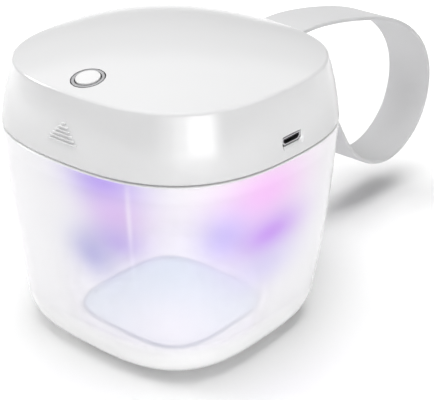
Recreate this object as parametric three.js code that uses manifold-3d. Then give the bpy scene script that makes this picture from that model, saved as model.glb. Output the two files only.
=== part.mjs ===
// A UV sterilizer case: a translucent tub, a flip-top lid with the lamp and electronics, and a strap loop.
// Millimetres, +Z up, origin at the centre of the underside, -Y the front, +X the charging socket's side.

import * as THREE from "three";
import { mergeVertices } from "three/addons/utils/BufferGeometryUtils.js";
import Module from "manifold-3d";

const wasm = await Module();
wasm.setup();

// Clearances and tolerances shared by the pieces
const fitGap = 0.3;
const cutOverrun = 1;
const weldReach = 1e-4;

// Case: every level is a squircle, |x / half|^power + |y / half|^power = 1
const caseWidth = 80;
const bodyHeight = 58;
const footWidth = 49.2;
const footFillet = 10.1;
const wallBulge = 0.6;
const wallThickness = 2.2;
const floorThickness = 2.4;
const rimChamfer = 0.4;
const footPower = 3;
const seamPower = 2.6;

// Lid shell
const seamGap = 0.4;
const lidSideHeight = 16.5;
const creaseInset = 3.5;
const creaseFillet = 0.7;
const lidBulge = 0.42;
const domeShares = [0, 0.3, 0.6, 0.82];
const roofShares = [0.6, 0.3, 0];
const domeRise = 4.85;
const lidTopThickness = 2.4;
const lidCornerFillet = 0.6;
const creasePower = 2.66;
const crownPower = 2;

// Floor plate and its recess
const plateWidth = 42;
const plateThickness = 1;
const recessDepth = 1;
const plateEdge = 0.3;
const platePower = 3.7;

// Hinge at the back
const hingeOffset = 3;
const barrelRadius = 2.4;
const pinRadius = 1;
const baseKnuckleWidth = 12;
const lidKnuckleWidth = 6;
const knuckleGap = 0.3;
const knuckleLeg = 6;
const knuckleLean = 36;

// Magnet in the body's rim, under the hall sensor
const magnetWidth = 4;
const magnetThickness = 1.2;
const magnetHeight = 3;
const magnetSkin = 0.5;

// Inner cover: a plug with a flange, a gasket groove and four screw places
const plugDepth = 3.6;
const plugClearance = 0.9;
const plugChamfer = 0.8;
const coverThickness = 1.8;
const skirtThickness = 2;
const flangeThickness = 1.6;
const grooveDepth = 0.9;
const grooveWidth = 2.2;
const grooveDrop = 0.8;
const gasketLip = 0.35;

// Lid screws, standing in the corners of the cover's skirt
const lidScrewClearance = 2.3;
const lidScrewRadius = 1.1;
const lidScrewLength = 8;
const lidScrewHeadRadius = 2.1;
const lidScrewHeadHeight = 1.2;
const screwWall = 1.4;

// Lamp: window on a seal over an opening in the cover, LEDs under the board
const windowShare = 0.375;
const windowThickness = 1.2;
const windowLedge = 1.8;
const windowRim = 1;
const sealThickness = 0.8;
const ledCount = 3;
const ledWidth = 3.5;
const ledHeight = 1.1;
const ledRingShare = 0.4;
const ledDomeShare = 0.38;

// Main board between the lid's screw bosses, and what stands on it
const boardThickness = 1;
const boardLift = 0.5;
const boardSideGap = 0.7;
const boardFrontEdge = 1.5;
const boardCorner = 2;
const boardScrewInset = 3;
const boardScrewRadius = 0.8;
const boardScrewLength = 4;
const boardScrewHeadRadius = 1.6;
const boardScrewHeadHeight = 1;
const chipWidth = 7;
const chipHeight = 1;
const partShare = 0.4;
const partRowGap = 9.5;
const sensorWidth = 4;
const sensorDepth = 3;
const sensorHeight = 1.2;
const sensorTabWidth = 8;
const sensorTabInset = 3;

// Battery, its pad, socket and leads
const batteryInset = 1.5;
const batteryHeight = 7;
const batteryRound = 1.6;
const padInset = 6;
const padMargin = 3;
const padThickness = 1;
const socketWidth = 6;
const socketDepth = 4.5;
const socketHeight = 3;
const leadRadius = 0.5;
const leadPitch = 2;
const leadRun = 7.8;
const leadReach = 3;
const leadSteps = 8;

// Button and its switch
const buttonInset = 6.9;
const buttonRadius = 3.05;
const buttonProud = 0.4;
const buttonTravel = 0.4;
const buttonEdge = 0.35;
const ringWidth = 0.7;
const ringFlange = 0.8;
const flangeHeight = 0.8;
const capFlange = 0.5;
const stemRadius = 1.2;
const plungerRadius = 1.5;
const plungerTop = 4.6;
const switchWidth = 6;
const switchHeight = 3.4;
const switchFloor = 0.8;

// Micro-USB charging socket
const usbY = -0.6;
const usbWidth = 6.8;
const usbHeight = 2;
const usbDepth = 5.6;
const usbWall = 0.3;
const usbChamfer = 0.7;
const usbSetBack = 0.6;
const usbTabWidth = 11;
const tongueWidth = 4.8;
const tongueThickness = 0.5;
const tongueDepth = 4.2;

// Grip ribs on the lid's front
const ribCount = 6;
const ribLowest = 5.2;
const ribPitch = 0.88;
const ribHeight = 0.55;
const ribX = 0.5;
const ribWidest = 9.7;
const ribNarrowest = 1.2;
const ribRoundShare = 0.49;
const ribProud = 0.4;
const ribRoot = 1;

// Strap, its bar and its press stud
const strapWidth = 15.1;
const strapThickness = 1.25;
const strapReach = 73.6;
const strapDrop = 53.2;
const strapFold = 37;
const barRadius = 1.2;
const barOffset = 3.6;
const barHeight = 9;
const earThickness = 2.4;
const earRadius = 2.9;
const earGap = 0.6;
const earLeg = 4;
const snapPlace = 14.5;
const snapRadius = 4;
const snapThickness = 1.1;
const snapPost = 1.1;
const studRadius = 3.2;
const studHeight = 1.5;

// The strap's centre line from the bar, round the loop and back, as shares of its reach and its drop
const strapRouteShares = [
  [0, 0.04],
  [0.135, 0.041],
  [0.287, 0.017],
  [0.459, -0.029],
  [0.609, -0.084],
  [0.734, -0.153],
  [0.837, -0.24],
  [0.917, -0.34],
  [0.969, -0.444],
  [0.995, -0.548],
  [1, -0.659],
  [0.982, -0.765],
  [0.947, -0.851],
  [0.892, -0.922],
  [0.82, -0.975],
  [0.739, -1],
  [0.655, -0.992],
  [0.564, -0.951],
  [0.477, -0.878],
  [0.401, -0.775],
  [0.325, -0.625],
  [0.236, -0.42],
  [0.154, -0.263],
  [0.067, -0.142],
  [-0.026, -0.054],
];

// How finely the round forms are cut
const caseSides = 48;
const roundSides = 24;
const smallSides = 12;
const wireSides = 8;
const wallSteps = 4;
const filletSteps = 4;
const creaseSteps = 3;
const strapSteps = 56;
const flapSteps = 12;

// Places that follow from the sizes above
const caseHalf = caseWidth / 2;
const footHalf = footWidth / 2;
const kneeHalf = footHalf + footFillet;
const creaseHalf = caseHalf - creaseInset;
const windowRadius = caseHalf * windowShare;
const lidBottom = bodyHeight + seamGap;
const creaseZ = lidBottom + lidSideHeight;
const hingeY = caseHalf + hingeOffset;
const hingeZ = bodyHeight;
const coverBottom = bodyHeight - plugDepth;
const coverTop = coverBottom + coverThickness;
const flangeTop = lidBottom + flangeThickness;
const grooveTop = bodyHeight - grooveDrop;
const grooveBottom = grooveTop - grooveWidth;
const windowBottom = coverTop + 2 * fitGap + sealThickness;
const windowTop = windowBottom + windowThickness;
const boardBottom = flangeTop + boardLift;
const boardTop = boardBottom + boardThickness;
const partFloor = boardTop + fitGap;
const screwSeat = coverBottom + lidScrewHeadHeight + fitGap;
const screwPadTop = screwSeat + coverThickness;
const screwPadRadius = lidScrewHeadRadius + fitGap + screwWall / 2;
const bossRadius = lidScrewRadius + fitGap + screwWall;
const barY = caseHalf + barOffset;
const barZ = lidBottom + barHeight;

const AXIS_X = new THREE.Vector3(1, 0, 0);
const AXIS_Y = new THREE.Vector3(0, 1, 0);
const AXIS_Z = new THREE.Vector3(0, 0, 1);
const SIDES = [-1, 1];
const CORNERS = [
  [-1, -1],
  [1, -1],
  [1, 1],
  [-1, 1],
];

// Turns a closed three.js geometry into a solid that faces outwards.
function solidOf(geometry) {
  const bare = geometry.clone();
  bare.deleteAttribute("normal");
  bare.deleteAttribute("uv");
  const merged = mergeVertices(bare, weldReach);
  const index = merged.index.array;
  const kept = [];
  for (let i = 0; i < index.length; i += 3) {
    const [a, b, c] = [index[i], index[i + 1], index[i + 2]];
    if (a !== b && b !== c && c !== a) kept.push(a, b, c);
  }
  const vertProperties = merged.attributes.position.array;
  const make = (order) =>
    new wasm.Manifold(new wasm.Mesh({ numProp: 3, vertProperties, triVerts: new Uint32Array(order) }));
  const made = make(kept);
  return made.volume() < 0 ? make(kept.reverse()) : made;
}

// Turns a solid back into a three.js geometry.
function geometryOf(solid) {
  const mesh = solid.getMesh();
  const geometry = new THREE.BufferGeometry();
  geometry.setAttribute("position", new THREE.BufferAttribute(mesh.vertProperties, 3));
  geometry.setIndex(new THREE.BufferAttribute(mesh.triVerts, 1));
  geometry.computeVertexNormals();
  return geometry;
}

const join = (...solids) => solids.reduce((whole, solid) => whole.add(solid));
const cut = (solid, ...tools) => tools.reduce((whole, tool) => whole.subtract(tool), solid);

// Levels of the case: the half-width and the squircle's power at a height.
function bodyLevel(z) {
  const share = (z - footFillet) / (bodyHeight - footFillet);
  const straight = THREE.MathUtils.lerp(kneeHalf, caseHalf, share);
  const power = THREE.MathUtils.lerp(footPower, seamPower, share);
  return { half: straight + wallBulge * Math.sin(Math.PI * share), z, power };
}

function lidLevel(z) {
  const share = (z - lidBottom) / lidSideHeight;
  const straight = THREE.MathUtils.lerp(caseHalf, creaseHalf, share);
  const power = THREE.MathUtils.lerp(seamPower, creasePower, share);
  return { half: straight + lidBulge * Math.sin(Math.PI * share), z, power };
}

// Level of the domed top at a share of the crease's half-width.
function domeLevel(share) {
  const z = creaseZ + domeRise * (1 - share * share);
  return { half: creaseHalf * share, z, power: THREE.MathUtils.lerp(crownPower, creasePower, share) };
}

const inset = (level, amount) => ({ ...level, half: level.half - amount });
const sunk = (level, amount) => ({ ...level, z: level.z - amount });

// Plug and skirt of the cover, and the screw places in the corners of the skirt's squircle
const mouthHalf = (z) => bodyLevel(z).half - wallThickness;
const plugHalf = mouthHalf(coverBottom) - plugClearance;
const skirtHalf = plugHalf - skirtThickness - grooveDepth;
const skirtCorner = skirtHalf * 0.5 ** (1 / seamPower);
const screwHalf = skirtCorner - (screwPadRadius + lidScrewClearance) * Math.SQRT1_2;
const boardHalf = screwHalf - bossRadius - boardSideGap;
const corner = ([x, y]) => [x * screwHalf, y * screwHalf, 0];

// Height of the domed top on the line x = 0
const domeHeight = (y) => creaseZ + domeRise * (1 - (y / creaseHalf) ** 2);

// Button on the dome, and the switch straight under its stem
const buttonY = buttonInset - creaseHalf;
const buttonTilt = Math.atan((-2 * domeRise * buttonY) / creaseHalf ** 2);
const ringInner = buttonRadius + fitGap;
const ringOuter = ringInner + ringWidth;
const ringUnder = -lidTopThickness - fitGap;
const ringBottom = ringUnder - flangeHeight;
const capFlangeTop = ringBottom - fitGap;
const capFlangeBottom = capFlangeTop - flangeHeight;
const plungerZ = partFloor + plungerTop;
const boreFloor = partFloor + switchFloor;
const plungerLow = boreFloor + fitGap + buttonTravel;
const stemDrop = fitGap + stemRadius * Math.sin(buttonTilt);
const stemEnd = (plungerZ + stemDrop - domeHeight(buttonY)) / Math.cos(buttonTilt);
const plungerY = buttonY - stemEnd * Math.sin(buttonTilt);

// Board from under the switch to the rear bosses, and the row of parts behind the switch
const boardFront = switchWidth / 2 + boardFrontEdge - plungerY;
const boardBack = screwHalf;
const partRowY = plungerY + switchWidth / 2 + partRowGap;
const partX = boardHalf * partShare;

function boardCornerPlace([x, y]) {
  return [x * (boardHalf - boardScrewInset), y * (boardBack - boardScrewInset), 0];
}

// A lathe turned from a profile of levels, with each ring then pushed out from a circle to its squircle.
function squircleLathe(levels, sides = caseSides) {
  const profile = levels.map((level) => new THREE.Vector2(level.half, level.z));
  const geometry = new THREE.LatheGeometry(profile, sides);
  const position = geometry.attributes.position;
  for (let i = 0; i < position.count; i++) {
    const level = levels[i % levels.length];
    if (level.half === 0) continue;
    const [x, y] = [position.getX(i) / level.half, position.getZ(i) / level.half];
    const norm = (Math.abs(x) ** level.power + Math.abs(y) ** level.power) ** (1 / level.power);
    position.setX(i, position.getX(i) / norm);
    position.setZ(i, position.getZ(i) / norm);
  }
  geometry.rotateX(Math.PI / 2);
  return solidOf(geometry);
}

// A round lathe about +Z, from [radius, height] pairs.
function roundLathe(pairs, sides = roundSides) {
  const profile = pairs.map(([radius, height]) => new THREE.Vector2(radius, height));
  return solidOf(new THREE.LatheGeometry(profile, sides).rotateX(Math.PI / 2));
}

function box(width, depth, low, high) {
  const geometry = new THREE.BoxGeometry(width, depth, high - low);
  return solidOf(geometry.translate(0, 0, (low + high) / 2));
}

function rod(radius, low, high, sides = roundSides) {
  const pairs = [
    [0, low],
    [radius, low],
    [radius, high],
    [0, high],
  ];
  return roundLathe(pairs, sides);
}

const smallRod = (radius, low, high) => rod(radius, low, high, smallSides);

// A flat shape in Y and Z, pulled along X between two places.
function pulledAlongX(shape, from, to, bevel = 0) {
  const settings = { depth: to - from - 2 * bevel, bevelEnabled: bevel > 0, curveSegments: roundSides / 2 };
  Object.assign(settings, { bevelThickness: bevel, bevelSize: bevel, bevelOffset: -bevel, bevelSegments: 1 });
  const geometry = new THREE.ExtrudeGeometry(shape, settings).translate(0, 0, from + bevel);
  return solidOf(geometry.applyMatrix4(new THREE.Matrix4().makeBasis(AXIS_Y, AXIS_Z, AXIS_X)));
}

// A flat shape in X and Y, pulled up between two heights.
function pulledUp(shape, low, high) {
  const settings = { depth: high - low, bevelEnabled: false, curveSegments: smallSides / 6 };
  return solidOf(new THREE.ExtrudeGeometry(shape, settings).translate(0, 0, low));
}

function roundedRectangle(width, height, radius) {
  const [w, h] = [width / 2, height / 2];
  const shape = new THREE.Shape();
  shape.absarc(w - radius, h - radius, radius, 0, Math.PI / 2);
  shape.absarc(radius - w, h - radius, radius, Math.PI / 2, Math.PI);
  shape.absarc(radius - w, radius - h, radius, Math.PI, 1.5 * Math.PI);
  shape.absarc(w - radius, radius - h, radius, 1.5 * Math.PI, 2 * Math.PI);
  return shape;
}

function circle(x, y, radius) {
  return new THREE.Shape().absarc(x, y, radius, 0, 2 * Math.PI);
}

// Numbers from one end to the other, both ends included.
const steps = (from, to, count) =>
  Array.from({ length: count + 1 }, (_, i) => THREE.MathUtils.lerp(from, to, i / count));

// A rounded corner between two levels, bowed towards the level where they would meet.
function cornerLevels(start, middle, end) {
  const bow = (t, key) => {
    const [a, b, c] = [start[key], middle[key], end[key]];
    return (1 - t) ** 2 * a + 2 * t * (1 - t) * b + t ** 2 * c;
  };
  const level = (t) => ({ half: bow(t, "half"), z: bow(t, "z"), power: bow(t, "power") });
  return steps(0, 1, creaseSteps).map(level);
}

// Body shell

function bodyOutside() {
  const fillet = steps(0, Math.PI / 2, filletSteps).map((turn) => ({
    half: footHalf + footFillet * Math.sin(turn),
    z: footFillet * (1 - Math.cos(turn)),
    power: footPower,
  }));
  const wall = steps(footFillet, bodyHeight - rimChamfer, wallSteps).slice(1).map(bodyLevel);
  return [...fillet, ...wall, inset(bodyLevel(bodyHeight), rimChamfer)];
}

function bodyInside() {
  const wall = steps(bodyHeight, footFillet, wallSteps).map((z) => inset(bodyLevel(z), wallThickness));
  const fillet = steps(Math.PI / 2, 0, filletSteps).slice(1).map((turn) => ({
    half: footHalf + (footFillet - wallThickness) * Math.sin(turn),
    z: footFillet - (footFillet - floorThickness) * Math.cos(turn),
    power: footPower,
  }));
  return [...wall, ...fillet];
}

function floorRecess() {
  const half = plateWidth / 2 + fitGap;
  return [
    { half, z: floorThickness, power: platePower },
    { half, z: floorThickness - recessDepth, power: platePower },
  ];
}

// A knuckle seen from the side: the barrel and a leg that runs to the wall, up or down.
function knuckleShape(direction) {
  const wallY = caseHalf - wallThickness / 2;
  const rest = direction > 0 ? lidBottom : bodyHeight;
  const start = Math.asin((rest - hingeZ) / barrelRadius);
  const lean = THREE.MathUtils.degToRad(knuckleLean);
  const shape = new THREE.Shape();
  shape.moveTo(wallY, rest + direction * knuckleLeg);
  shape.lineTo(wallY, rest);
  if (direction > 0) shape.absarc(hingeY, hingeZ, barrelRadius, Math.PI - start, lean + 2 * Math.PI, false);
  else shape.absarc(hingeY, hingeZ, barrelRadius, Math.PI, -lean, true);
  shape.closePath();
  return shape;
}

const hingeBore = () => pulledAlongX(circle(hingeY, hingeZ, pinRadius + fitGap), -caseHalf, caseHalf);

const magnetY = caseHalf - wallThickness + magnetSkin + fitGap + magnetThickness / 2;

function bodyShell() {
  const floor = { half: 0, z: floorThickness - recessDepth, power: platePower };
  const foot = { half: 0, z: 0, power: footPower };
  const tub = squircleLathe([foot, ...bodyOutside(), ...bodyInside(), ...floorRecess(), floor]);
  const knuckle = pulledAlongX(knuckleShape(-1), -baseKnuckleWidth / 2, baseKnuckleWidth / 2);
  const pocketWidth = magnetWidth + 2 * fitGap;
  const pocketFloor = bodyHeight - magnetHeight - 2 * fitGap;
  const pocket = box(pocketWidth, magnetThickness + 2 * fitGap, pocketFloor, bodyHeight + cutOverrun);
  return cut(join(tub, knuckle), hingeBore(), pocket.translate([0, magnetY, 0]));
}

function bodyMagnet() {
  const top = bodyHeight - fitGap;
  return box(magnetWidth, magnetThickness, top - magnetHeight, top).translate([0, magnetY, 0]);
}

function hingePin() {
  const end = baseKnuckleWidth / 2 + knuckleGap + lidKnuckleWidth - fitGap;
  return pulledAlongX(circle(hingeY, hingeZ, pinRadius), -end, end);
}

function floorPlate() {
  const low = floorThickness - recessDepth + fitGap;
  const high = low + plateThickness;
  const half = plateWidth / 2;
  return squircleLathe([
    { half: 0, z: low, power: platePower },
    { half, z: low, power: platePower },
    { half, z: high - plateEdge, power: platePower },
    { half: half - plateEdge, z: high, power: platePower },
    { half: 0, z: high, power: platePower },
  ]);
}

// Lid shell

// Moves a solid made upright at the origin onto the dome where the button sits.
function atButton(solid) {
  const tilt = THREE.MathUtils.radToDeg(buttonTilt);
  return solid.rotate([tilt, 0, 0]).translate([0, buttonY, domeHeight(buttonY)]);
}

function lidProfile() {
  const crease = lidLevel(creaseZ);
  const sideEnd = lidLevel(creaseZ - creaseFillet);
  const domeStart = domeLevel(1 - creaseFillet / creaseHalf);
  const rim = lidLevel(lidBottom);
  const roof = (share) => sunk(domeLevel(share), lidTopThickness);
  const innerShare = 1 - wallThickness / creaseHalf;
  const roofEdge = roof(innerShare);
  const wallEnd = inset(lidLevel(roofEdge.z - lidCornerFillet), wallThickness);
  return [
    ...domeShares.map(domeLevel),
    ...cornerLevels(domeStart, crease, sideEnd),
    ...steps(creaseZ - creaseFillet, lidBottom + rimChamfer, wallSteps).slice(1).map(lidLevel),
    inset(rim, rimChamfer),
    ...steps(lidBottom, wallEnd.z, wallSteps).map((z) => inset(lidLevel(z), wallThickness)),
    ...[innerShare - lidCornerFillet / creaseHalf, ...roofShares].map(roof),
  ];
}

// One bar of the grip, lying on the lid's leaning front wall.
function gripRib(index) {
  const share = index / (ribCount - 1);
  const z = lidBottom + ribLowest + (ribCount - 1 - index) * ribPitch;
  const width = THREE.MathUtils.lerp(ribNarrowest, ribWidest, share);
  const lean = Math.atan2(lidLevel(z - ribHeight).half - lidLevel(z + ribHeight).half, 2 * ribHeight);
  const outline = roundedRectangle(width, ribHeight, ribHeight * ribRoundShare);
  const bar = pulledUp(outline, -ribRoot, ribProud);
  const turn = 90 - THREE.MathUtils.radToDeg(lean);
  return bar.rotate([turn, 0, 0]).translate([ribX, -lidLevel(z).half, z]);
}

// An ear for the strap's bar, reaching back from the lid's wall.
function strapEar(side) {
  const shape = new THREE.Shape();
  const wallY = lidLevel(barZ).half - wallThickness / 2;
  shape.moveTo(wallY, barZ + earLeg);
  shape.lineTo(wallY, barZ - earLeg);
  shape.absarc(barY, barZ, earRadius, -Math.PI / 2, Math.PI / 2, false);
  shape.closePath();
  const near = strapWidth / 2 + earGap;
  const [from, to] = side > 0 ? [near, near + earThickness] : [-near - earThickness, -near];
  return pulledAlongX(shape, from, to);
}

function usbOutline(grow) {
  const [w, h] = [usbWidth / 2 + grow, usbHeight / 2 + grow];
  const shape = new THREE.Shape();
  shape.moveTo(-w, h);
  shape.lineTo(-w, usbChamfer - h);
  shape.lineTo(usbChamfer - w, -h);
  shape.lineTo(w - usbChamfer, -h);
  shape.lineTo(w, usbChamfer - h);
  shape.lineTo(w, h);
  shape.closePath();
  return shape;
}

const usbZ = partFloor + usbHeight / 2;
const usbMouth = lidLevel(usbZ).half - usbSetBack;

function usbPulled(shape, from, to) {
  return pulledAlongX(shape, from, to).translate([0, usbY, usbZ]);
}

function lidShell() {
  const shell = squircleLathe(lidProfile());
  const bossBottom = screwPadTop + fitGap;
  const boss = smallRod(bossRadius, bossBottom, creaseZ);
  const boreTop = screwSeat + lidScrewLength + fitGap;
  const bore = smallRod(lidScrewRadius + fitGap, bossBottom - cutOverrun, boreTop);
  const inner = baseKnuckleWidth / 2 + knuckleGap;
  const knuckles = SIDES.map((side) => {
    const ends = [side * inner, side * (inner + lidKnuckleWidth)].sort((a, b) => a - b);
    return pulledAlongX(knuckleShape(1), ...ends);
  });
  const ribs = Array.from({ length: ribCount }, (_, index) => gripRib(index));
  const bosses = CORNERS.map((spot) => boss.translate(corner(spot)));
  const bores = CORNERS.map((spot) => bore.translate(corner(spot)));
  const holeBottom = -lidTopThickness - 2 * cutOverrun;
  const buttonHole = atButton(rod(ringOuter + fitGap, holeBottom, cutOverrun));
  const usbSlot = usbPulled(usbOutline(fitGap), usbMouth - usbSetBack - wallThickness, caseHalf + cutOverrun);
  const barHole = pulledAlongX(circle(barY, barZ, barRadius + fitGap), -caseHalf, caseHalf);
  const whole = join(shell, ...bosses, ...knuckles, ...SIDES.map(strapEar), ...ribs);
  return cut(whole, hingeBore(), ...bores, buttonHole, usbSlot, barHole);
}

// Inner cover, gasket and lid screws

const openingRadius = windowRadius - windowLedge;
const rimRadius = windowRadius + fitGap;

function lidInnerCover() {
  const level = (half, z, power = seamPower) => ({ half, z, power });
  const flangeHalf = lidLevel(lidBottom).half - wallThickness - fitGap;
  const ring = [
    level(openingRadius, coverBottom, crownPower),
    level(plugHalf - plugChamfer, coverBottom),
    level(plugHalf, coverBottom + plugChamfer),
    level(plugHalf, grooveBottom),
    level(plugHalf - grooveDepth, grooveBottom),
    level(plugHalf - grooveDepth, grooveTop),
    level(plugHalf, grooveTop),
    level(plugHalf, lidBottom),
    level(flangeHalf, lidBottom),
    level(flangeHalf, flangeTop),
    level(skirtHalf, flangeTop),
    level(skirtHalf, coverTop),
    level(rimRadius + windowRim, coverTop, crownPower),
    level(rimRadius + windowRim, windowTop, crownPower),
    level(rimRadius, windowTop, crownPower),
    level(rimRadius, coverTop, crownPower),
    level(openingRadius, coverTop, crownPower),
  ];
  const plate = squircleLathe([...ring, ring[0]]);
  const pad = smallRod(screwPadRadius, coverTop - coverThickness / 2, screwPadTop);
  const counterbore = smallRod(lidScrewHeadRadius + fitGap, coverBottom - cutOverrun, screwSeat);
  const hole = smallRod(lidScrewRadius + fitGap, coverBottom, screwPadTop + cutOverrun);
  const postTop = boardBottom - fitGap;
  const post = smallRod(boardScrewRadius + fitGap + screwWall / 2, coverTop - coverThickness / 2, postTop);
  const postBore = smallRod(boardScrewRadius + fitGap, coverTop, postTop + cutOverrun);
  const pads = CORNERS.map((spot) => pad.translate(corner(spot)));
  const holes = CORNERS.map((spot) => join(counterbore, hole).translate(corner(spot)));
  const posts = CORNERS.map((spot) => post.translate(boardCornerPlace(spot)));
  const bores = CORNERS.map((spot) => postBore.translate(boardCornerPlace(spot)));
  return cut(join(plate, ...pads, ...posts), ...holes, ...bores);
}

function lidGasket() {
  const low = grooveBottom + fitGap;
  const high = grooveTop - fitGap;
  const root = plugHalf - grooveDepth + fitGap;
  const tip = mouthHalf(low) - fitGap;
  const level = (half, z) => ({ half, z, power: seamPower });
  const ring = [
    level(root, low),
    level(tip - gasketLip, low),
    level(tip, (low + high) / 2),
    level(tip - gasketLip, high),
    level(root, high),
  ];
  return squircleLathe([...ring, ring[0]]);
}

// A pan-head screw that stands on its head, with the shank upwards.
function screw(headRadius, headHeight, shankRadius, length) {
  const neck = headHeight / 4;
  return roundLathe(
    [
      [0, -headHeight],
      [headRadius - neck, -headHeight],
      [headRadius, -headHeight + neck],
      [headRadius, 0],
      [shankRadius, 0],
      [shankRadius, length - neck],
      [shankRadius - neck / 2, length],
      [0, length],
    ],
    smallSides,
  );
}

function lidScrew(spot) {
  const made = screw(lidScrewHeadRadius, lidScrewHeadHeight, lidScrewRadius, lidScrewLength);
  return made.translate([0, 0, screwSeat - fitGap]).translate(corner(spot));
}

// Lamp

function windowSeal() {
  const [low, high] = [coverTop + fitGap, coverTop + fitGap + sealThickness];
  const outer = windowRadius;
  return roundLathe([
    [openingRadius, low],
    [outer, low],
    [outer, high],
    [openingRadius, high],
    [openingRadius, low],
  ]);
}

function uvLed(index) {
  const turn = ((index + 0.5) / ledCount) * 2 * Math.PI;
  const top = boardBottom - fitGap;
  const chip = box(ledWidth, ledWidth, top - ledHeight / 2, top);
  const dome = smallRod(ledWidth * ledDomeShare, top - ledHeight, top - ledHeight / 4);
  const ring = windowRadius * ledRingShare;
  return join(chip, dome).translate([ring * Math.cos(turn), ring * Math.sin(turn), 0]);
}

// Main board and its parts

const sensorY = lidLevel(boardTop).half - wallThickness - sensorTabInset;

function mainBoard() {
  const half = boardHalf;
  const usbEdge = lidLevel(boardTop).half - wallThickness - 2 * fitGap;
  const [usbLow, usbHigh] = [usbY - usbTabWidth / 2, usbY + usbTabWidth / 2];
  const shape = new THREE.Shape();
  shape.moveTo(boardCorner - half, -boardFront);
  shape.lineTo(half - boardCorner, -boardFront);
  shape.lineTo(half, boardCorner - boardFront);
  shape.lineTo(half, usbLow);
  shape.lineTo(usbEdge, usbLow);
  shape.lineTo(usbEdge, usbHigh);
  shape.lineTo(half, usbHigh);
  shape.lineTo(half, boardBack);
  shape.lineTo(sensorTabWidth / 2, boardBack);
  shape.lineTo(sensorTabWidth / 2, sensorY + sensorDepth / 2);
  shape.lineTo(-sensorTabWidth / 2, sensorY + sensorDepth / 2);
  shape.lineTo(-sensorTabWidth / 2, boardBack);
  shape.lineTo(-half, boardBack);
  shape.lineTo(-half, boardCorner - boardFront);
  shape.closePath();
  const hole = smallRod(boardScrewRadius + fitGap, boardBottom - cutOverrun, boardTop + cutOverrun);
  const holes = CORNERS.map((spot) => hole.translate(boardCornerPlace(spot)));
  return cut(pulledUp(shape, boardBottom, boardTop), ...holes);
}

function boardScrew(spot) {
  const made = screw(boardScrewHeadRadius, boardScrewHeadHeight, boardScrewRadius, boardScrewLength);
  return made.rotate([180, 0, 0]).translate([0, 0, partFloor]).translate(boardCornerPlace(spot));
}

const controlChip = () =>
  box(chipWidth, chipWidth, partFloor, partFloor + chipHeight).translate([-partX, partRowY, 0]);

const hallSensor = () =>
  box(sensorWidth, sensorDepth, partFloor, partFloor + sensorHeight).translate([0, sensorY, 0]);

function tactSwitch() {
  const body = box(switchWidth, switchWidth, partFloor, partFloor + switchHeight);
  const bore = rod(plungerRadius + fitGap, boreFloor, partFloor + switchHeight + cutOverrun);
  return cut(body, bore).translate([0, plungerY, 0]);
}

function usbShell() {
  const back = usbMouth - usbDepth;
  const shell = usbPulled(usbOutline(0), back, usbMouth);
  return cut(shell, usbPulled(usbOutline(-usbWall), back + usbWall, usbMouth + cutOverrun));
}

function usbTongue() {
  const back = usbMouth - usbDepth + usbWall + fitGap;
  const blade = new THREE.BoxGeometry(tongueDepth, tongueWidth, tongueThickness);
  return solidOf(blade.translate(back + tongueDepth / 2, usbY, usbZ));
}

// Battery

const padTop = partFloor + padThickness;
const batteryBottom = padTop + fitGap;
const batteryFront = partRowY + socketDepth / 2 + leadRun;
const batteryWidth = 2 * (boardHalf - batteryInset);
const batteryDepth = boardBack - batteryInset - batteryFront;
const batteryY = batteryFront + batteryDepth / 2;

function battery() {
  const shape = roundedRectangle(batteryWidth, batteryHeight, batteryRound);
  const settings = { depth: batteryDepth, bevelEnabled: false, curveSegments: roundSides / 8 };
  const made = new THREE.ExtrudeGeometry(shape, settings).rotateX(Math.PI / 2);
  return solidOf(made.translate(0, batteryY + batteryDepth / 2, batteryBottom + batteryHeight / 2));
}

function batteryPad() {
  const [width, depth] = [batteryWidth - 2 * padInset, batteryDepth - 2 * padMargin];
  return box(width, depth, partFloor, padTop).translate([0, batteryY, 0]);
}

const batterySocket = () =>
  box(socketWidth, socketDepth, partFloor, partFloor + socketHeight).translate([partX, partRowY, 0]);

function batteryLead(side) {
  const x = partX + (side * leadPitch) / 2;
  const start = new THREE.Vector3(x, batteryY - batteryDepth / 2 - fitGap, batteryBottom + batteryHeight / 2);
  const end = new THREE.Vector3(x, partRowY + socketDepth / 2 + fitGap, partFloor + socketHeight / 2);
  const [out, into] = [start.clone(), end.clone()];
  out.y -= leadReach;
  into.y += leadReach;
  const path = new THREE.CubicBezierCurve3(start, out, into, end);
  const settings = { steps: leadSteps, extrudePath: path, curveSegments: wireSides / 2 };
  return solidOf(new THREE.ExtrudeGeometry(circle(0, 0, leadRadius), settings));
}

// Button: drawn upright with the dome's surface at height 0, then tilted onto the dome

function buttonRing() {
  const flange = ringOuter + ringFlange;
  return atButton(
    roundLathe([
      [ringInner, 0],
      [ringInner, ringBottom],
      [flange, ringBottom],
      [flange, ringUnder],
      [ringOuter, ringUnder],
      [ringOuter, 0],
      [ringInner, 0],
    ]),
  );
}

function buttonCap() {
  const flange = ringInner + capFlange;
  return atButton(
    roundLathe([
      [0, stemEnd],
      [stemRadius, stemEnd],
      [stemRadius, capFlangeBottom],
      [flange, capFlangeBottom],
      [flange, capFlangeTop],
      [buttonRadius, capFlangeTop],
      [buttonRadius, buttonProud - buttonEdge],
      [buttonRadius - buttonEdge, buttonProud],
      [0, buttonProud - buttonEdge / 3],
    ]),
  );
}

function switchPlunger() {
  const round = plungerRadius / 4;
  return roundLathe([
    [0, plungerLow],
    [plungerRadius, plungerLow],
    [plungerRadius, plungerZ - round],
    [plungerRadius - round, plungerZ],
    [0, plungerZ],
  ]).translate([0, plungerY, 0]);
}

// Strap

// Centre line from the bar, round the loop and back under the bar, with Y and Z as x and y.
function strapLine() {
  const route = strapRouteShares.map(
    ([out, up]) => new THREE.Vector3(barY + out * strapReach, barZ + up * strapDrop, 0),
  );
  return new THREE.CatmullRomCurve3(route, false, "centripetal");
}

const strapCurve = strapLine();
const strapLength = strapCurve.getLength();

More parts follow.
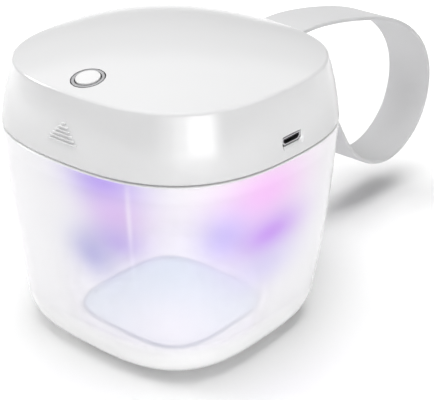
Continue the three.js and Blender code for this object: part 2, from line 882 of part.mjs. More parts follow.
// A point beside the centre line, at a share of its length, moved aside towards the inside of the loop.
function besideLine(share, aside) {
  const point = strapCurve.getPointAt(share);
  const along = strapCurve.getTangentAt(share);
  return new THREE.Vector2(point.x + along.y * aside, point.y - along.x * aside);
}

// A band that follows the centre line between two shares of its length and two distances aside.
function bandShape(from, to, outer, inner, count) {
  const shares = steps(from, to, count);
  const outside = shares.map((share) => besideLine(share, outer));
  const inside = shares.map((share) => besideLine(share, inner)).reverse();
  return new THREE.Shape([...outside, ...inside]);
}

// Moves a solid made upright at the origin onto the strap, at its press stud, with +Z into the loop.
function atSnap(solid) {
  const share = 1 - snapPlace / strapLength;
  const [place, inner] = [besideLine(share, 0), besideLine(share, 1)];
  const lean = THREE.MathUtils.radToDeg(Math.atan2(inner.y - place.y, inner.x - place.x));
  return solid.rotate([lean - 90, 0, 0]).translate([0, place.x, place.y]);
}

const strapUnder = -strapThickness / 2;
const strapOver = 1.5 * strapThickness;

// The ribbon, its turn round the bar, and the end that comes back from the bar along the lower run.
function strap() {
  const edge = strapWidth / 2;
  const bevel = strapThickness / 6;
  const foldStart = 1 - strapFold / strapLength;
  const ribbon = bandShape(0, 1, -strapThickness / 2, strapThickness / 2, strapSteps);
  const sleeve = circle(barY, barZ, barRadius + fitGap + strapThickness);
  const flap = bandShape(foldStart, 1, strapThickness / 4, strapOver, flapSteps);
  const bands = [ribbon, sleeve].map((shape) => pulledAlongX(shape, -edge, edge, bevel));
  const flapBand = pulledAlongX(flap, bevel - edge, edge - bevel);
  const barHole = pulledAlongX(circle(barY, barZ, barRadius + fitGap), -edge - cutOverrun, edge + cutOverrun);
  const snapHole = atSnap(smallRod(snapPost + fitGap, strapUnder - cutOverrun, strapOver + cutOverrun));
  return cut(join(...bands, flapBand), barHole, snapHole);
}

function strapBar() {
  const end = strapWidth / 2 + earGap + earThickness;
  return pulledAlongX(circle(barY, barZ, barRadius), -end, end);
}

function strapSnapCap() {
  const top = strapUnder - fitGap;
  const round = snapThickness / 2;
  return atSnap(
    roundLathe([
      [0, top - snapThickness],
      [snapRadius - round, top - snapThickness],
      [snapRadius, top - round],
      [snapRadius, top],
      [snapPost, top],
      [snapPost, strapOver + studHeight],
      [0, strapOver + studHeight],
    ]),
  );
}

function strapSnapStud() {
  const low = strapOver + fitGap;
  const high = low + studHeight;
  const bore = snapPost + fitGap;
  const round = studHeight / 3;
  return atSnap(
    roundLathe([
      [bore, low],
      [studRadius, low],
      [studRadius, high - round],
      [studRadius - round, high],
      [bore, high],
      [bore, low],
    ]),
  );
}

// Finishes

const finish = (color, roughness, metalness = 0) =>
  new THREE.MeshStandardMaterial({ color, roughness, metalness });

const milkyPlastic = finish(0xf4f2fb, 0.18);
milkyPlastic.transparent = true;
milkyPlastic.opacity = 0.45;
const clearPlastic = finish(0xe6ecff, 0.05);
clearPlastic.transparent = true;
clearPlastic.opacity = 0.5;
const whitePlastic = finish(0xeeeeee, 0.32);
const innerPlastic = finish(0xe6e6ea, 0.5);
const greyTrim = finish(0xb4b4b6, 0.4);
const sealRubber = finish(0xd8d8dc, 0.75);
const strapRubber = finish(0xdadada, 0.55);
const steel = finish(0xb9bcc0, 0.3, 1);
const blackPlastic = finish(0x1c1c1e, 0.5);
const boardGreen = finish(0x1f5a3c, 0.5);
const cellFoil = finish(0xa9adb3, 0.35, 0.6);
const ledCeramic = finish(0xe8dcc0, 0.4);
const redWire = finish(0xb02020, 0.5);

// The assembly: one group for each piece that moves

const model = new THREE.Group();
const caseGroup = new THREE.Group();
const lidGroup = new THREE.Group();
const buttonGroup = new THREE.Group();
const strapGroup = new THREE.Group();
model.add(caseGroup, lidGroup);
lidGroup.add(buttonGroup, strapGroup);

function place(group, name, solid, material) {
  const mesh = new THREE.Mesh(geometryOf(solid), material);
  mesh.name = name;
  group.add(mesh);
}

place(caseGroup, "body_shell", bodyShell(), milkyPlastic);
place(caseGroup, "floor_plate", floorPlate(), clearPlastic);
place(caseGroup, "body_magnet", bodyMagnet(), steel);
place(caseGroup, "hinge_pin", hingePin(), steel);

place(lidGroup, "lid_shell", lidShell(), whitePlastic);
place(lidGroup, "lid_inner_cover", lidInnerCover(), innerPlastic);
place(lidGroup, "lid_gasket", lidGasket(), sealRubber);
CORNERS.forEach((spot, i) => place(lidGroup, `lid_screw_${i + 1}`, lidScrew(spot), steel));
place(lidGroup, "lamp_window", rod(windowRadius, windowBottom, windowTop), clearPlastic);
place(lidGroup, "window_seal", windowSeal(), sealRubber);
for (let i = 0; i < ledCount; i++) place(lidGroup, `uv_led_${i + 1}`, uvLed(i), ledCeramic);
place(lidGroup, "main_board", mainBoard(), boardGreen);
CORNERS.forEach((spot, i) => place(lidGroup, `board_screw_${i + 1}`, boardScrew(spot), steel));
place(lidGroup, "control_chip", controlChip(), blackPlastic);
place(lidGroup, "hall_sensor", hallSensor(), blackPlastic);
place(lidGroup, "tact_switch", tactSwitch(), blackPlastic);
place(lidGroup, "usb_shell", usbShell(), steel);
place(lidGroup, "usb_tongue", usbTongue(), blackPlastic);
place(lidGroup, "battery", battery(), cellFoil);
place(lidGroup, "battery_pad", batteryPad(), sealRubber);
place(lidGroup, "battery_socket", batterySocket(), innerPlastic);
place(lidGroup, "battery_lead_red", batteryLead(1), redWire);
place(lidGroup, "battery_lead_black", batteryLead(-1), blackPlastic);
place(lidGroup, "button_ring", buttonRing(), greyTrim);
place(lidGroup, "strap_bar", strapBar(), steel);

place(buttonGroup, "button_cap", buttonCap(), whitePlastic);
place(buttonGroup, "switch_plunger", switchPlunger(), blackPlastic);

place(strapGroup, "strap", strap(), strapRubber);
place(strapGroup, "strap_snap_cap", strapSnapCap(), steel);
place(strapGroup, "strap_snap_stud", strapSnapStud(), steel);

export default model;
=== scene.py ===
"""Looks for the UV sterilizer case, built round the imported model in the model's own frame.

Sizes are written in millimetres and become metres when a mesh is made. +Z is up, -Y is the front and
+X the side with the charging socket.
"""

from __future__ import annotations

import logging
import math
from dataclasses import dataclass, field
from enum import Enum
from functools import cache

import bmesh
import bpy
import numpy as np
from mathutils import Matrix, Vector


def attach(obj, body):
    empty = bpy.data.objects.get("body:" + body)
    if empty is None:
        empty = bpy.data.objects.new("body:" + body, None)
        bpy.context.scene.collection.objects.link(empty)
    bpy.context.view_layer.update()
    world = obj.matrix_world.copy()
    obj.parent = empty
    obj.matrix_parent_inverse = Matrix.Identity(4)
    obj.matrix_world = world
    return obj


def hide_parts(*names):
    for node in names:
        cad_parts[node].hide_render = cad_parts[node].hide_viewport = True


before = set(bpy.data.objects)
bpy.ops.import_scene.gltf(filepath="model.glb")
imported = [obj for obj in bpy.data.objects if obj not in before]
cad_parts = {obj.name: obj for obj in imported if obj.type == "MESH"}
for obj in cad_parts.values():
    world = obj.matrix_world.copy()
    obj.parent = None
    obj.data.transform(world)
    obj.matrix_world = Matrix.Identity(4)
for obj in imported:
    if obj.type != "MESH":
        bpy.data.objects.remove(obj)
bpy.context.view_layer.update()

LOG = logging.getLogger("sterilizer_case")
MILLIMETRE = 0.001
SHELL_SIDES = 192
ROUND_SIDES = 72
FINE_SIDES = 96
CORNER_STEPS = 6
EDGE_ROWS = 5
SPARE = 1.0  # how far a cutter reaches beyond what it cuts, in millimetres
CIRCLE = 2.0  # the power at which a squircle is a circle
PLASTIC_IOR = 1.49
GRAZING = 1.04  # a little over 1, so that a wall seen edge on stays finite
Pair = tuple[float, float]
Triple = tuple[float, float, float]
Colour = Triple
BLACK: Colour = (0.0, 0.0, 0.0)
WHITE: Colour = (1.0, 1.0, 1.0)


class Ends(Enum):
    """How a lofted surface ends."""

    FLAT = "a flat face"
    JOINED = "the last row meets the first"
    POINTED = "the end rows are single points"


class Body(Enum):
    """The moving bodies of the model."""

    CASE = "case"
    LID = "lid"
    BUTTON = "button"
    STRAP = "strap"


class Slot(Enum):
    """The record's material slot names; each new piece holds one, but nothing here reads it."""

    MILKY = "milky_plastic"
    CLEAR = "clear_plastic"
    WHITE = "white_plastic"
    INNER = "inner_plastic"
    TRIM = "grey_trim"
    SEAL = "seal_rubber"
    STRAP = "strap_rubber"
    STEEL = "steel"


# Surfaces


@dataclass
class Surface:
    """Points in millimetres, faces in blocks of equal corner count, and a finish number for each face."""

    points: np.ndarray
    faces: list[np.ndarray]
    finishes: list[np.ndarray]

    def __add__(self, other: Surface) -> Surface:
        """Returns both surfaces side by side as one."""
        faces = self.faces + [block + len(self.points) for block in other.faces]
        return Surface(np.vstack([self.points, other.points]), faces, self.finishes + other.finishes)

    def moved(self, x: float = 0.0, y: float = 0.0, z: float = 0.0) -> Surface:
        """Returns the surface moved by x, y and z."""
        return Surface(self.points + np.array([x, y, z]), self.faces, self.finishes)

    def leaned(self, turn: float) -> Surface:
        """Returns the surface turned about the X axis by an angle in radians, from +Y towards +Z."""
        matrix = np.array(Matrix.Rotation(turn, 3, "X"))
        return Surface(self.points @ matrix.T, self.faces, self.finishes)


def loft(rows: np.ndarray, ends: Ends, finish: int | np.ndarray = 0) -> Surface:
    """Joins rows of points, each a closed loop, into one skin.

    The face between row i and row i + 1 at column j has the corners (i, j), (i, j + 1), (i + 1, j + 1)
    and (i + 1, j), where the column after the last is the first.

    Args:
        rows: Points with the shape (rows, columns, 3).
        ends: How the first and the last row are closed.
        finish: A finish number, or one for each step between rows.

    Returns:
        The closed surface.
    """
    count, sides = rows.shape[:2]
    lower = np.arange(count if ends is Ends.JOINED else count - 1)
    column = np.arange(sides)
    beside = (column + 1) % sides
    low, high = (lower * sides)[:, None], (((lower + 1) % count) * sides)[:, None]
    quads = np.stack([low + column, low + beside, high + beside, high + column], axis=-1).reshape(-1, 4)
    numbers = np.repeat(np.broadcast_to(np.asarray(finish), lower.shape), sides)
    faces, finishes = [quads], [numbers]
    if ends is Ends.FLAT:
        faces += [column[None, ::-1], (count - 1) * sides + column[None]]
        finishes += [numbers[:1], numbers[-1:]]
    return Surface(rows.reshape(-1, 3), faces, finishes)


def levels_of(half: np.ndarray, height: np.ndarray, power: float | np.ndarray) -> np.ndarray:
    """Returns levels as rows of half-width, height and power."""
    return np.stack(np.broadcast_arrays(half, height, power), axis=-1)


def squircle_rows(levels: np.ndarray, sides: int = SHELL_SIDES) -> np.ndarray:
    """Works out the rings of a shell.

    At angle a the ring's radius is half / (|cos a|^power + |sin a|^power)^(1 / power), which is the curve
    |x / half|^power + |y / half|^power = 1 in polar form.

    Args:
        levels: Rows of half-width, height and power.
        sides: Points round a ring.

    Returns:
        Points with the shape (levels, sides, 3).
    """
    turn = np.linspace(0, 2 * np.pi, sides, endpoint=False)
    along, across = np.cos(turn), np.sin(turn)
    half, height, power = (levels[:, i, None] for i in range(3))
    radius = half / (np.abs(along) ** power + np.abs(across) ** power) ** (1 / power)
    return np.stack([radius * along, radius * across, np.broadcast_to(height, radius.shape)], axis=-1)


def softened(profile: np.ndarray, radius: float, closed: bool, steps: int = 4) -> np.ndarray:
    """Rounds the corners of a profile.

    Each corner b becomes the curve (1 - t)^2 a + 2 t (1 - t) b + t^2 c, where a and c lie on the corner's
    two sides, a radius away from it or halfway along the side where that is nearer.

    Args:
        profile: Rows whose first two columns are half-width and height.
        radius: How far the rounding reaches along each side.
        closed: Whether the last row meets the first; the ends of an open profile stay sharp.
        steps: Steps in each corner.

    Returns:
        The rounded profile, with the same columns.
    """
    sides = [np.roll(profile, shift, axis=0) - profile for shift in (1, -1)]
    lengths = [np.linalg.norm(side[:, :2], axis=1)[:, None] for side in sides]
    shares = [np.minimum(radius / np.maximum(length, 1e-9), 0.5) for length in lengths]
    start, end = (profile + side * share for side, share in zip(sides, shares))
    t = np.linspace(0, 1, steps + 1)[None, :, None]
    curve = (1 - t) ** 2 * start[:, None] + 2 * t * (1 - t) * profile[:, None] + t**2 * end[:, None]
    if closed:
        return curve.reshape(-1, profile.shape[1])
    middle = curve[1:-1].reshape(-1, profile.shape[1])
    return np.vstack([profile[:1], middle, profile[-1:]])


def shell(levels: np.ndarray, ends: Ends, finish: int | np.ndarray = 0, sides: int = SHELL_SIDES) -> Surface:
    """Makes a squircle shell from rows of half-width, height and power."""
    return loft(squircle_rows(levels, sides), ends, finish)


def lathe(profile: list[Pair], soft: float, ends: Ends, sides: int = ROUND_SIDES) -> Surface:
    """Turns a round piece about the Z axis.

    Args:
        profile: Pairs of radius and height; a POINTED profile starts and ends on the axis.
        soft: How far the corners are rounded.
        ends: POINTED for a solid piece, JOINED for a ring.
        sides: Points round the piece.

    Returns:
        The closed surface.
    """
    levels = np.array([(radius, height, CIRCLE) for radius, height in profile])
    return shell(softened(levels, soft, ends is Ends.JOINED), ends, sides=sides)


def section(inner: float, outer: float, low: float, high: float) -> list[Pair]:
    """Returns a ring's section between two radii and two heights; an inner radius of 0 makes it solid."""
    return [(inner, low), (outer, low), (outer, high), (inner, high)]


def arc(middle: Pair, radius: float, start: float, end: float, steps: int) -> np.ndarray:
    """Returns points (a, b) = middle + radius (cos turn, sin turn) from one angle to the other in degrees."""
    turn = np.radians(np.linspace(start, end, steps + 1))
    return np.array(middle) + radius * np.stack([np.cos(turn), np.sin(turn)], axis=-1)


def prism(outline: np.ndarray, start: float, end: float, edge: float) -> Surface:
    """Pulls a flat outline in Y and Z along X, with rounded edges.

    At a turn t from 0 to a right angle the row lies edge (1 - cos t) from the end and the outline has
    shrunk by edge (1 - sin t) towards its inside.

    Args:
        outline: Points with the shape (n, 2).
        start: The lowest X.
        end: The highest X.
        edge: The radius of the rounded edges.

    Returns:
        The closed surface.
    """
    ahead, behind = np.roll(outline, -1, axis=0), np.roll(outline, 1, axis=0)
    along = ahead - behind
    area = np.sum(outline[:, 0] * ahead[:, 1] - ahead[:, 0] * outline[:, 1])
    inward = np.stack([-along[:, 1], along[:, 0]], axis=-1) * np.sign(area)
    inward /= np.linalg.norm(inward, axis=1)[:, None] + 1e-9
    turn = np.linspace(0, np.pi / 2, EDGE_ROWS)
    depth, shrink = edge * (1 - np.cos(turn)), edge * (1 - np.sin(turn))
    places = np.concatenate([start + depth, end - depth[::-1]])
    shrinks = np.concatenate([shrink, shrink[::-1]])
    flat = outline[None] + inward[None] * shrinks[:, None, None]
    across = np.broadcast_to(places[:, None, None], (*flat.shape[:2], 1))
    return loft(np.concatenate([across, flat], axis=-1), Ends.FLAT)


def rod(middle: Pair, radius: float, start: float, end: float, edge: float = 0.0, sides: int = 48) -> Surface:
    """Makes a rod along X about a point in Y and Z."""
    return prism(arc(middle, radius, 0, 360 - 360 / sides, sides - 1), start, end, edge)


def rounded_outline(width: float, height: float, radius: float) -> np.ndarray:
    """Works out a rectangle about the origin whose corners are quarter circles.

    Args:
        width: Its size along the first axis.
        height: Its size along the second axis.
        radius: The radius of its corners.

    Returns:
        Points with the shape (n, 2).
    """
    w, h = width / 2 - radius, height / 2 - radius
    middles = enumerate([(w, h), (-w, h), (-w, -h), (w, -h)])
    return np.vstack([arc(middle, radius, 90 * i, 90 * i + 90, CORNER_STEPS) for i, middle in middles])


def block(width: float, depth: float, low: float, high: float, edge: float) -> Surface:
    """Makes a block with rounded edges, centred on X and Y between two heights."""
    outline = rounded_outline(depth, high - low, edge) + np.array([0, (low + high) / 2])
    return prism(outline, -width / 2, width / 2, edge)


def placed(name: str, data: bpy.types.ID) -> bpy.types.Object:
    """Makes an object and puts it into the scene.

    Args:
        name: Its name.
        data: Its mesh, lamp or camera.

    Returns:
        The object.
    """
    made = bpy.data.objects.new(name, data)
    bpy.context.scene.collection.objects.link(made)
    return made


def mesh_of(name: str, surface: Surface) -> bpy.types.Mesh:
    """Makes a mesh in metres, with its doubles merged and its faces pointing outwards.

    Args:
        name: Its name.
        surface: Its surface, in millimetres.

    Returns:
        The mesh.
    """
    mesh = bpy.data.meshes.new(name)
    faces = [row for rows in surface.faces for row in rows.tolist()]
    mesh.from_pydata((surface.points * MILLIMETRE).tolist(), [], faces)
    mesh.polygons.foreach_set("material_index", np.concatenate(surface.finishes).astype(np.int32))
    work = bmesh.new()
    work.from_mesh(mesh)
    bmesh.ops.remove_doubles(work, verts=work.verts, dist=1e-6)
    bmesh.ops.recalc_face_normals(work, faces=work.faces)
    work.to_mesh(mesh)
    work.free()
    return mesh


def surface_of(mesh: bpy.types.Mesh) -> Surface:
    """Reads a mesh back as a surface, with its faces grouped by their number of corners.

    Args:
        mesh: The mesh, in metres.

    Returns:
        The surface, in millimetres.
    """
    points = np.empty(len(mesh.vertices) * 3)
    corners = np.empty(len(mesh.loops), np.int32)
    starts, totals, marks = (np.empty(len(mesh.polygons), np.int32) for _ in range(3))
    mesh.vertices.foreach_get("co", points)
    mesh.loops.foreach_get("vertex_index", corners)
    mesh.polygons.foreach_get("loop_start", starts)
    mesh.polygons.foreach_get("loop_total", totals)
    mesh.polygons.foreach_get("material_index", marks)
    sizes = np.unique(totals)
    faces = [corners[starts[totals == size][:, None] + np.arange(size)] for size in sizes]
    return Surface(points.reshape(-1, 3) / MILLIMETRE, faces, [marks[totals == size] for size in sizes])


def cut(body: Surface, *tools: Surface) -> Surface:
    """Takes closed surfaces out of a closed surface with exact Booleans.

    Args:
        body: The surface to cut.
        *tools: What is taken out of it.

    Returns:
        What is left.
    """
    names = ["cut_body", *(f"cut_tool_{i}" for i in range(len(tools)))]
    objects = [placed(name, mesh_of(name, part)) for name, part in zip(names, (body, *tools))]
    for tool in objects[1:]:
        modifier = objects[0].modifiers.new("cut", "BOOLEAN")
        modifier.operation, modifier.solver, modifier.object = "DIFFERENCE", "EXACT", tool
    graph = bpy.context.evaluated_depsgraph_get()
    whole = bpy.data.meshes.new_from_object(objects[0].evaluated_get(graph), depsgraph=graph)
    result = surface_of(whole)
    meshes = [each.data for each in objects]
    for each in objects:
        bpy.data.objects.remove(each)
    for mesh in [*meshes, whole]:
        bpy.data.meshes.remove(mesh)
    return result


# Shader maths


class Wire:
    """A socket in a material's node tree."""

    def __init__(self, recipe: Recipe, socket: bpy.types.NodeSocket) -> None:
        """Keeps the recipe that owns the socket."""
        self.recipe = recipe
        self.socket = socket


class Value(Wire):
    """A number that varies over a surface; arithmetic on it adds Math nodes."""

    def maths(self, operation: str, *others: Value | float) -> Value:
        """Adds a Math node with this value first."""
        inputs = dict(enumerate((self, *others)))
        return self.recipe.value("ShaderNodeMath", {"operation": operation}, inputs)

    def before(self, operation: str, first: float) -> Value:
        """Adds a Math node with this value second."""
        return self.recipe.value("ShaderNodeMath", {"operation": operation}, {0: first, 1: self})

    def __add__(self, other: Value | float) -> Value:
        """Returns the sum."""
        return self.maths("ADD", other)

    def __radd__(self, other: float) -> Value:
        """Returns the sum with a number on the left."""
        return self.before("ADD", other)

    def __sub__(self, other: Value | float) -> Value:
        """Returns the difference."""
        return self.maths("SUBTRACT", other)

    def __rsub__(self, other: float) -> Value:
        """Returns a number minus this value."""
        return self.before("SUBTRACT", other)

    def __mul__(self, other: Value | float) -> Value:
        """Returns the product."""
        return self.maths("MULTIPLY", other)

    def __rmul__(self, other: float) -> Value:
        """Returns the product with a number on the left."""
        return self.before("MULTIPLY", other)

    def __truediv__(self, other: Value | float) -> Value:
        """Returns the quotient."""
        return self.maths("DIVIDE", other)

    def __rtruediv__(self, other: float) -> Value:
        """Returns a number divided by this value."""
        return self.before("DIVIDE", other)

    def __neg__(self) -> Value:
        """Returns the negative."""
        return self.before("MULTIPLY", -1.0)

    def exponential(self) -> Value:
        """Returns e to the power of the value."""
        return self.maths("EXPONENT")

    def between(self, low: float, high: float) -> Value:
        """Returns a smooth step from 0 at low to 1 at high."""
        inputs = {"Value": self, "From Min": low, "From Max": high}
        return self.recipe.value("ShaderNodeMapRange", {"interpolation_type": "SMOOTHSTEP"}, inputs)

    def swing(self, reach: float) -> Value:
        """Returns a noise's distance from its middle, 0.5, times a reach."""
        return reach * (self - 0.5)

    def over(self, heights: Pair) -> Value:
        """Returns a smooth step from 0 to 1 between two heights in millimetres."""
        return self.between(*(height * MILLIMETRE for height in heights))


class Place(Wire):
    """A place or direction that varies over a surface; arithmetic on it adds Vector Math nodes."""

    def maths(self, operation: str, *others: Place | Triple) -> bpy.types.Node:
        """Adds a Vector Math node with this place first."""
        inputs = dict(enumerate((self, *others)))
        return self.recipe.node("ShaderNodeVectorMath", {"operation": operation}, inputs)

    def __sub__(self, other: Place | Triple) -> Place:
        """Returns the step from the other place to this one."""
        return Place(self.recipe, self.maths("SUBTRACT", other).outputs[0])

    def __mul__(self, other: Place | Triple) -> Place:
        """Returns the place scaled along each axis."""
        return Place(self.recipe, self.maths("MULTIPLY", other).outputs[0])

    def dot(self, other: Place | Triple) -> Value:
        """Returns the dot product."""
        return Value(self.recipe, self.maths("DOT_PRODUCT", other).outputs["Value"])

    def parts(self) -> list[Value]:
        """Returns the place's three numbers."""
        node = self.recipe.node("ShaderNodeSeparateXYZ", {}, {0: self})
        return [Value(self.recipe, socket) for socket in node.outputs]


class Tint(Wire):
    """A colour that varies over a surface; it is mixed with Mix nodes."""

    def blended(self, other: Tint | Colour, share: Value | float) -> Tint:
        """Returns this colour mixed with a share of another."""
        return self.recipe.mix(self, other, share)


class Recipe:
    """Builds the node tree of one material round a Principled shader, or the sky's round its Background."""

    def __init__(self, name: str, sky: bool = False) -> None:
        """Starts an empty tree with an output.

        Args:
            name: The material's or the sky's name.
            sky: Whether it is a sky.
        """
        self.owner = bpy.data.worlds.new(name) if sky else bpy.data.materials.new(name)
        self.owner.use_nodes = True
        self.tree = self.owner.node_tree
        self.tree.nodes.clear()
        self.output = self.tree.nodes.new("ShaderNodeOutputWorld" if sky else "ShaderNodeOutputMaterial")

    def fill(self, socket: bpy.types.NodeSocket, value: object) -> None:
        """Links a wire to a socket, or writes a plain value on it.

        Args:
            socket: The socket.
            value: A wire, a number, a colour or a vector.
        """
        if isinstance(value, Wire):
            self.tree.links.new(value.socket, socket)
        elif socket.type == "RGBA" and isinstance(value, tuple):
            socket.default_value = (*value, 1.0)
        else:
            socket.default_value = value

    def node(self, kind: str, settings: dict[str, object], inputs: dict[str | int, object]) -> bpy.types.Node:
        """Adds one node.

        Args:
            kind: The node's type.
            settings: Its properties, set first.
            inputs: A value or a wire for each socket, by name or number.

        Returns:
            The node.
        """
        node = self.tree.nodes.new(kind)
        for key, value in settings.items():
            setattr(node, key, value)
        for key, value in inputs.items():
            self.fill(node.inputs[key], value)
        return node

    def value(self, kind: str, settings: dict[str, object], inputs: dict[str | int, object]) -> Value:
        """Adds one node and returns its first output."""
        return Value(self, self.node(kind, settings, inputs).outputs[0])

    def mix(self, first: Tint | Colour, second: Tint | Colour, share: Value | float) -> Tint:
        """Adds a Mix node, which goes from the first colour at 0 to the second at 1."""
        node = self.node("ShaderNodeMix", {"data_type": "RGBA"}, {0: share, 6: first, 7: second})
        return Tint(self, node.outputs[2])

    def tint(self, colour: Colour) -> Tint:
        """Returns a colour to start a mix from."""
        return self.mix(colour, colour, 0.0)

    def place(self) -> Place:
        """Returns the object coordinates in metres."""
        return Place(self, self.node("ShaderNodeTexCoord", {}, {}).outputs["Object"])

    def noise(self, where: Place, size: float, detail: float = 2.0) -> Value:
        """Returns a noise between 0 and 1 whose lumps measure about a size in millimetres."""
        inputs = {"Vector": where, "Scale": 1 / (size * MILLIMETRE), "Detail": detail}
        return self.value("ShaderNodeTexNoise", {}, inputs)

    def puff(self, where: Place, middle: Triple, reach: Triple) -> Value:
        """Works out a soft cloud, e^(-d . d), where d is the step from its middle divided by its reach.

        Args:
            where: The place.
            middle: The cloud's middle, in millimetres.
            reach: Its reach along each axis, in millimetres.

        Returns:
            The cloud's strength, which is 1 in its middle.
        """
        away = where - tuple(part * MILLIMETRE for part in middle)
        step = away * tuple(1 / (part * MILLIMETRE) for part in reach)
        return (-step.dot(step)).exponential()

    def bump(self, height: Value, depth: float) -> Wire:
        """Returns a normal that follows a height whose full range is a depth in millimetres."""
        inputs = {"Height": height, "Distance": depth * MILLIMETRE, "Strength": 1.0}
        return Wire(self, self.node("ShaderNodeBump", {}, inputs).outputs[0])

    def stopped(self, density: Value) -> Value:
        """Returns the light that a wall stops, 1 - e^(-density / c), where c is the slant's cosine."""
        facing = Value(self, self.node("ShaderNodeLayerWeight", {}, {"Blend": 0.5}).outputs["Facing"])
        return 1 - (-(density / (GRAZING - facing))).exponential()

    def rays(self) -> list[Value]:
        """Returns three values that are 1 for camera, for glossy and for transmitted rays."""
        path = self.node("ShaderNodeLightPath", {}, {})
        return [Value(self, path.outputs[f"Is {name} Ray"]) for name in ("Camera", "Glossy", "Transmission")]

    def finish(self, **sockets: object) -> bpy.types.Material:
        """Adds the Principled shader, with underscores for spaces in its sockets' names.

        Args:
            **sockets: A value or a wire for each socket.

        Returns:
            The material.
        """
        inputs = {name.replace("_", " "): value for name, value in sockets.items()}
        shader = self.node("ShaderNodeBsdfPrincipled", {}, inputs)
        self.tree.links.new(shader.outputs[0], self.output.inputs["Surface"])
        return self.owner


# Finishes


@dataclass(frozen=True)
class Finish:
    """A finish, whose material is built once.

    A finish's uneven numbers say how far its noises change its roughness, the first noise first.
    """

    name: str
    colour: Colour

    @cache
    def material(self) -> bpy.types.Material:
        """Builds the material."""
        recipe = Recipe(self.name)
        return recipe.finish(**self.sockets(recipe, recipe.place()))

    def sockets(self, recipe: Recipe, where: Place) -> dict[str, object]:
        """Works out what the Principled shader gets.

        Args:
            recipe: The material's recipe, to which nodes are added.
            where: The object coordinates.

        Returns:
            A value or a wire for each socket, with underscores for spaces in its name.
        """
        raise NotImplementedError

    def shaded(self, share: float) -> Colour:
        """Returns the colour times a share, at most white."""
        red, green, blue = (min(1.0, part * share) for part in self.colour)
        return red, green, blue


@dataclass(frozen=True)
class MouldedPlastic(Finish):
    """Opaque moulded plastic with a fine mould grain and a slight unevenness of gloss and tone."""

    roughness: float
    grain: float = 0.35
    grain_depth: float = 0.004
    mottle: float = 0.02
    gloss: float = 0.5
    patch: float = 26.0
    uneven: Pair = (0.1, 0.06)

    def sockets(self, recipe: Recipe, where: Place) -> dict[str, object]:
        """Returns the values and wires that Finish.sockets asks for."""
        fine, broad = recipe.noise(where, self.grain, 3.0), recipe.noise(where, self.patch)
        colour = recipe.tint(self.shaded(1 - 2 * self.mottle)).blended(self.colour, broad)
        return dict(
            Base_Color=colour,
            Roughness=self.roughness + fine.swing(self.uneven[0]) + broad.swing(self.uneven[1]),
            Specular_IOR_Level=self.gloss,
            Normal=recipe.bump(fine, self.grain_depth),
        )


@dataclass(frozen=True)
class Glow:
    """One soft cloud of painted lamp light on the tub: its middle, its reach, its colour and its strength."""

    middle: Triple
    reach: Triple
    colour: Colour
    strength: float


@dataclass(frozen=True)
class MilkyPlastic(Finish):
    """Translucent plastic: the longer the way through the wall, the whiter it looks.

    The share of light that the wall stops is 1 - e^(-milk / c), where c is the cosine of the viewing
    angle and milk is the wall's density. The density is lowest in a window in the front right corner, and
    grows towards the foot and the rim. The clouds of lamp light, painted into the colour and the glow, lie
    there and in the opposite corner. The wall also gives off a share of its colour as its own glow, more
    towards the foot: painted light that stands in for the light inside the closed tub.
    """

    glows: tuple[Glow, ...]
    foot_milk: float
    rim_milk: float
    cloud_milk: float
    # light: the share of its colour that the wall gives off as its own glow, painted light
    light: float
    roughness: float
    # foot_light: more painted glow towards the foot
    foot_light: float = 0.0
    # shade: the share by which the base colour is darkened; the inside's is darkened and its painted glow
    # raised in its place
    shade: float = 0.0
    window_milk: float = 0.33
    wall_milk: float = 1.3
    window_middle: Triple = (24.0, -28.0, 22.0)
    window_reach: Triple = (40.0, 38.0, 40.0)
    window_edge: Pair = (0.5, 0.7)
    foot: Pair = (8.0, 12.5)
    rim: Pair = (53.0, 55.5)
    lip: Pair = (57.5, 57.9)
    plain: Colour = (0.93, 0.93, 0.93)
    haze: float = 9.0
    grain: float = 0.4
    grain_share: float = 0.15
    bump_depth: float = 0.006
    uneven: Pair = (0.05, 0.04)

    def folded(self, recipe: Recipe) -> Place:
        """Turns the rear left half onto the front right one, about the Z axis.

        Args:
            recipe: The material's recipe.

        Returns:
            The turned place.
        """
        where = recipe.place()
        x, y, _ = where.parts()
        half = (x - y).maths("SIGN")
        turn = recipe.node("ShaderNodeCombineXYZ", {}, {0: half, 1: half, 2: 1.0})
        return Place(recipe, where.maths("MULTIPLY", Place(recipe, turn.outputs[0])).outputs[0])

    def sockets(self, recipe: Recipe, where: Place) -> dict[str, object]:
        """Returns the values and wires that Finish.sockets asks for."""
        spot = self.folded(recipe)
        height = where.parts()[2]
        foot = 1 - height.over(self.foot)
        rim = height.over(self.rim)
        clear = recipe.puff(where, self.window_middle, self.window_reach).between(*self.window_edge)
        density = self.wall_milk - (self.wall_milk - self.window_milk) * clear
        density = density + self.foot_milk * foot + self.rim_milk * rim
        haze, fine = recipe.noise(where, self.haze), recipe.noise(where, self.grain, 3.0)
        body = recipe.tint(self.colour)
        # painted lamp light: each cloud tints the colour, and so the wall's glow, and thickens the wall
        for glow in self.glows:
            cloud = recipe.puff(spot, glow.middle, glow.reach) * glow.strength
            body = body.blended(glow.colour, cloud)
            density = density + self.cloud_milk * cloud
        body = body.blended(self.plain, foot).blended(self.plain, height.over(self.lip))
        return dict(
            Base_Color=body.blended(BLACK, self.shade),
            Roughness=self.roughness + haze.swing(self.uneven[0]) + fine.swing(self.uneven[1]),
            Alpha=recipe.stopped(density),
            # painted light: the wall's own glow, a share of its colour
            Emission_Color=body.blended(BLACK, 1 - self.light - self.foot_light * foot),
            Emission_Strength=1.0,
            IOR=PLASTIC_IOR,
            Normal=recipe.bump(haze + self.grain_share * fine, self.bump_depth),
        )


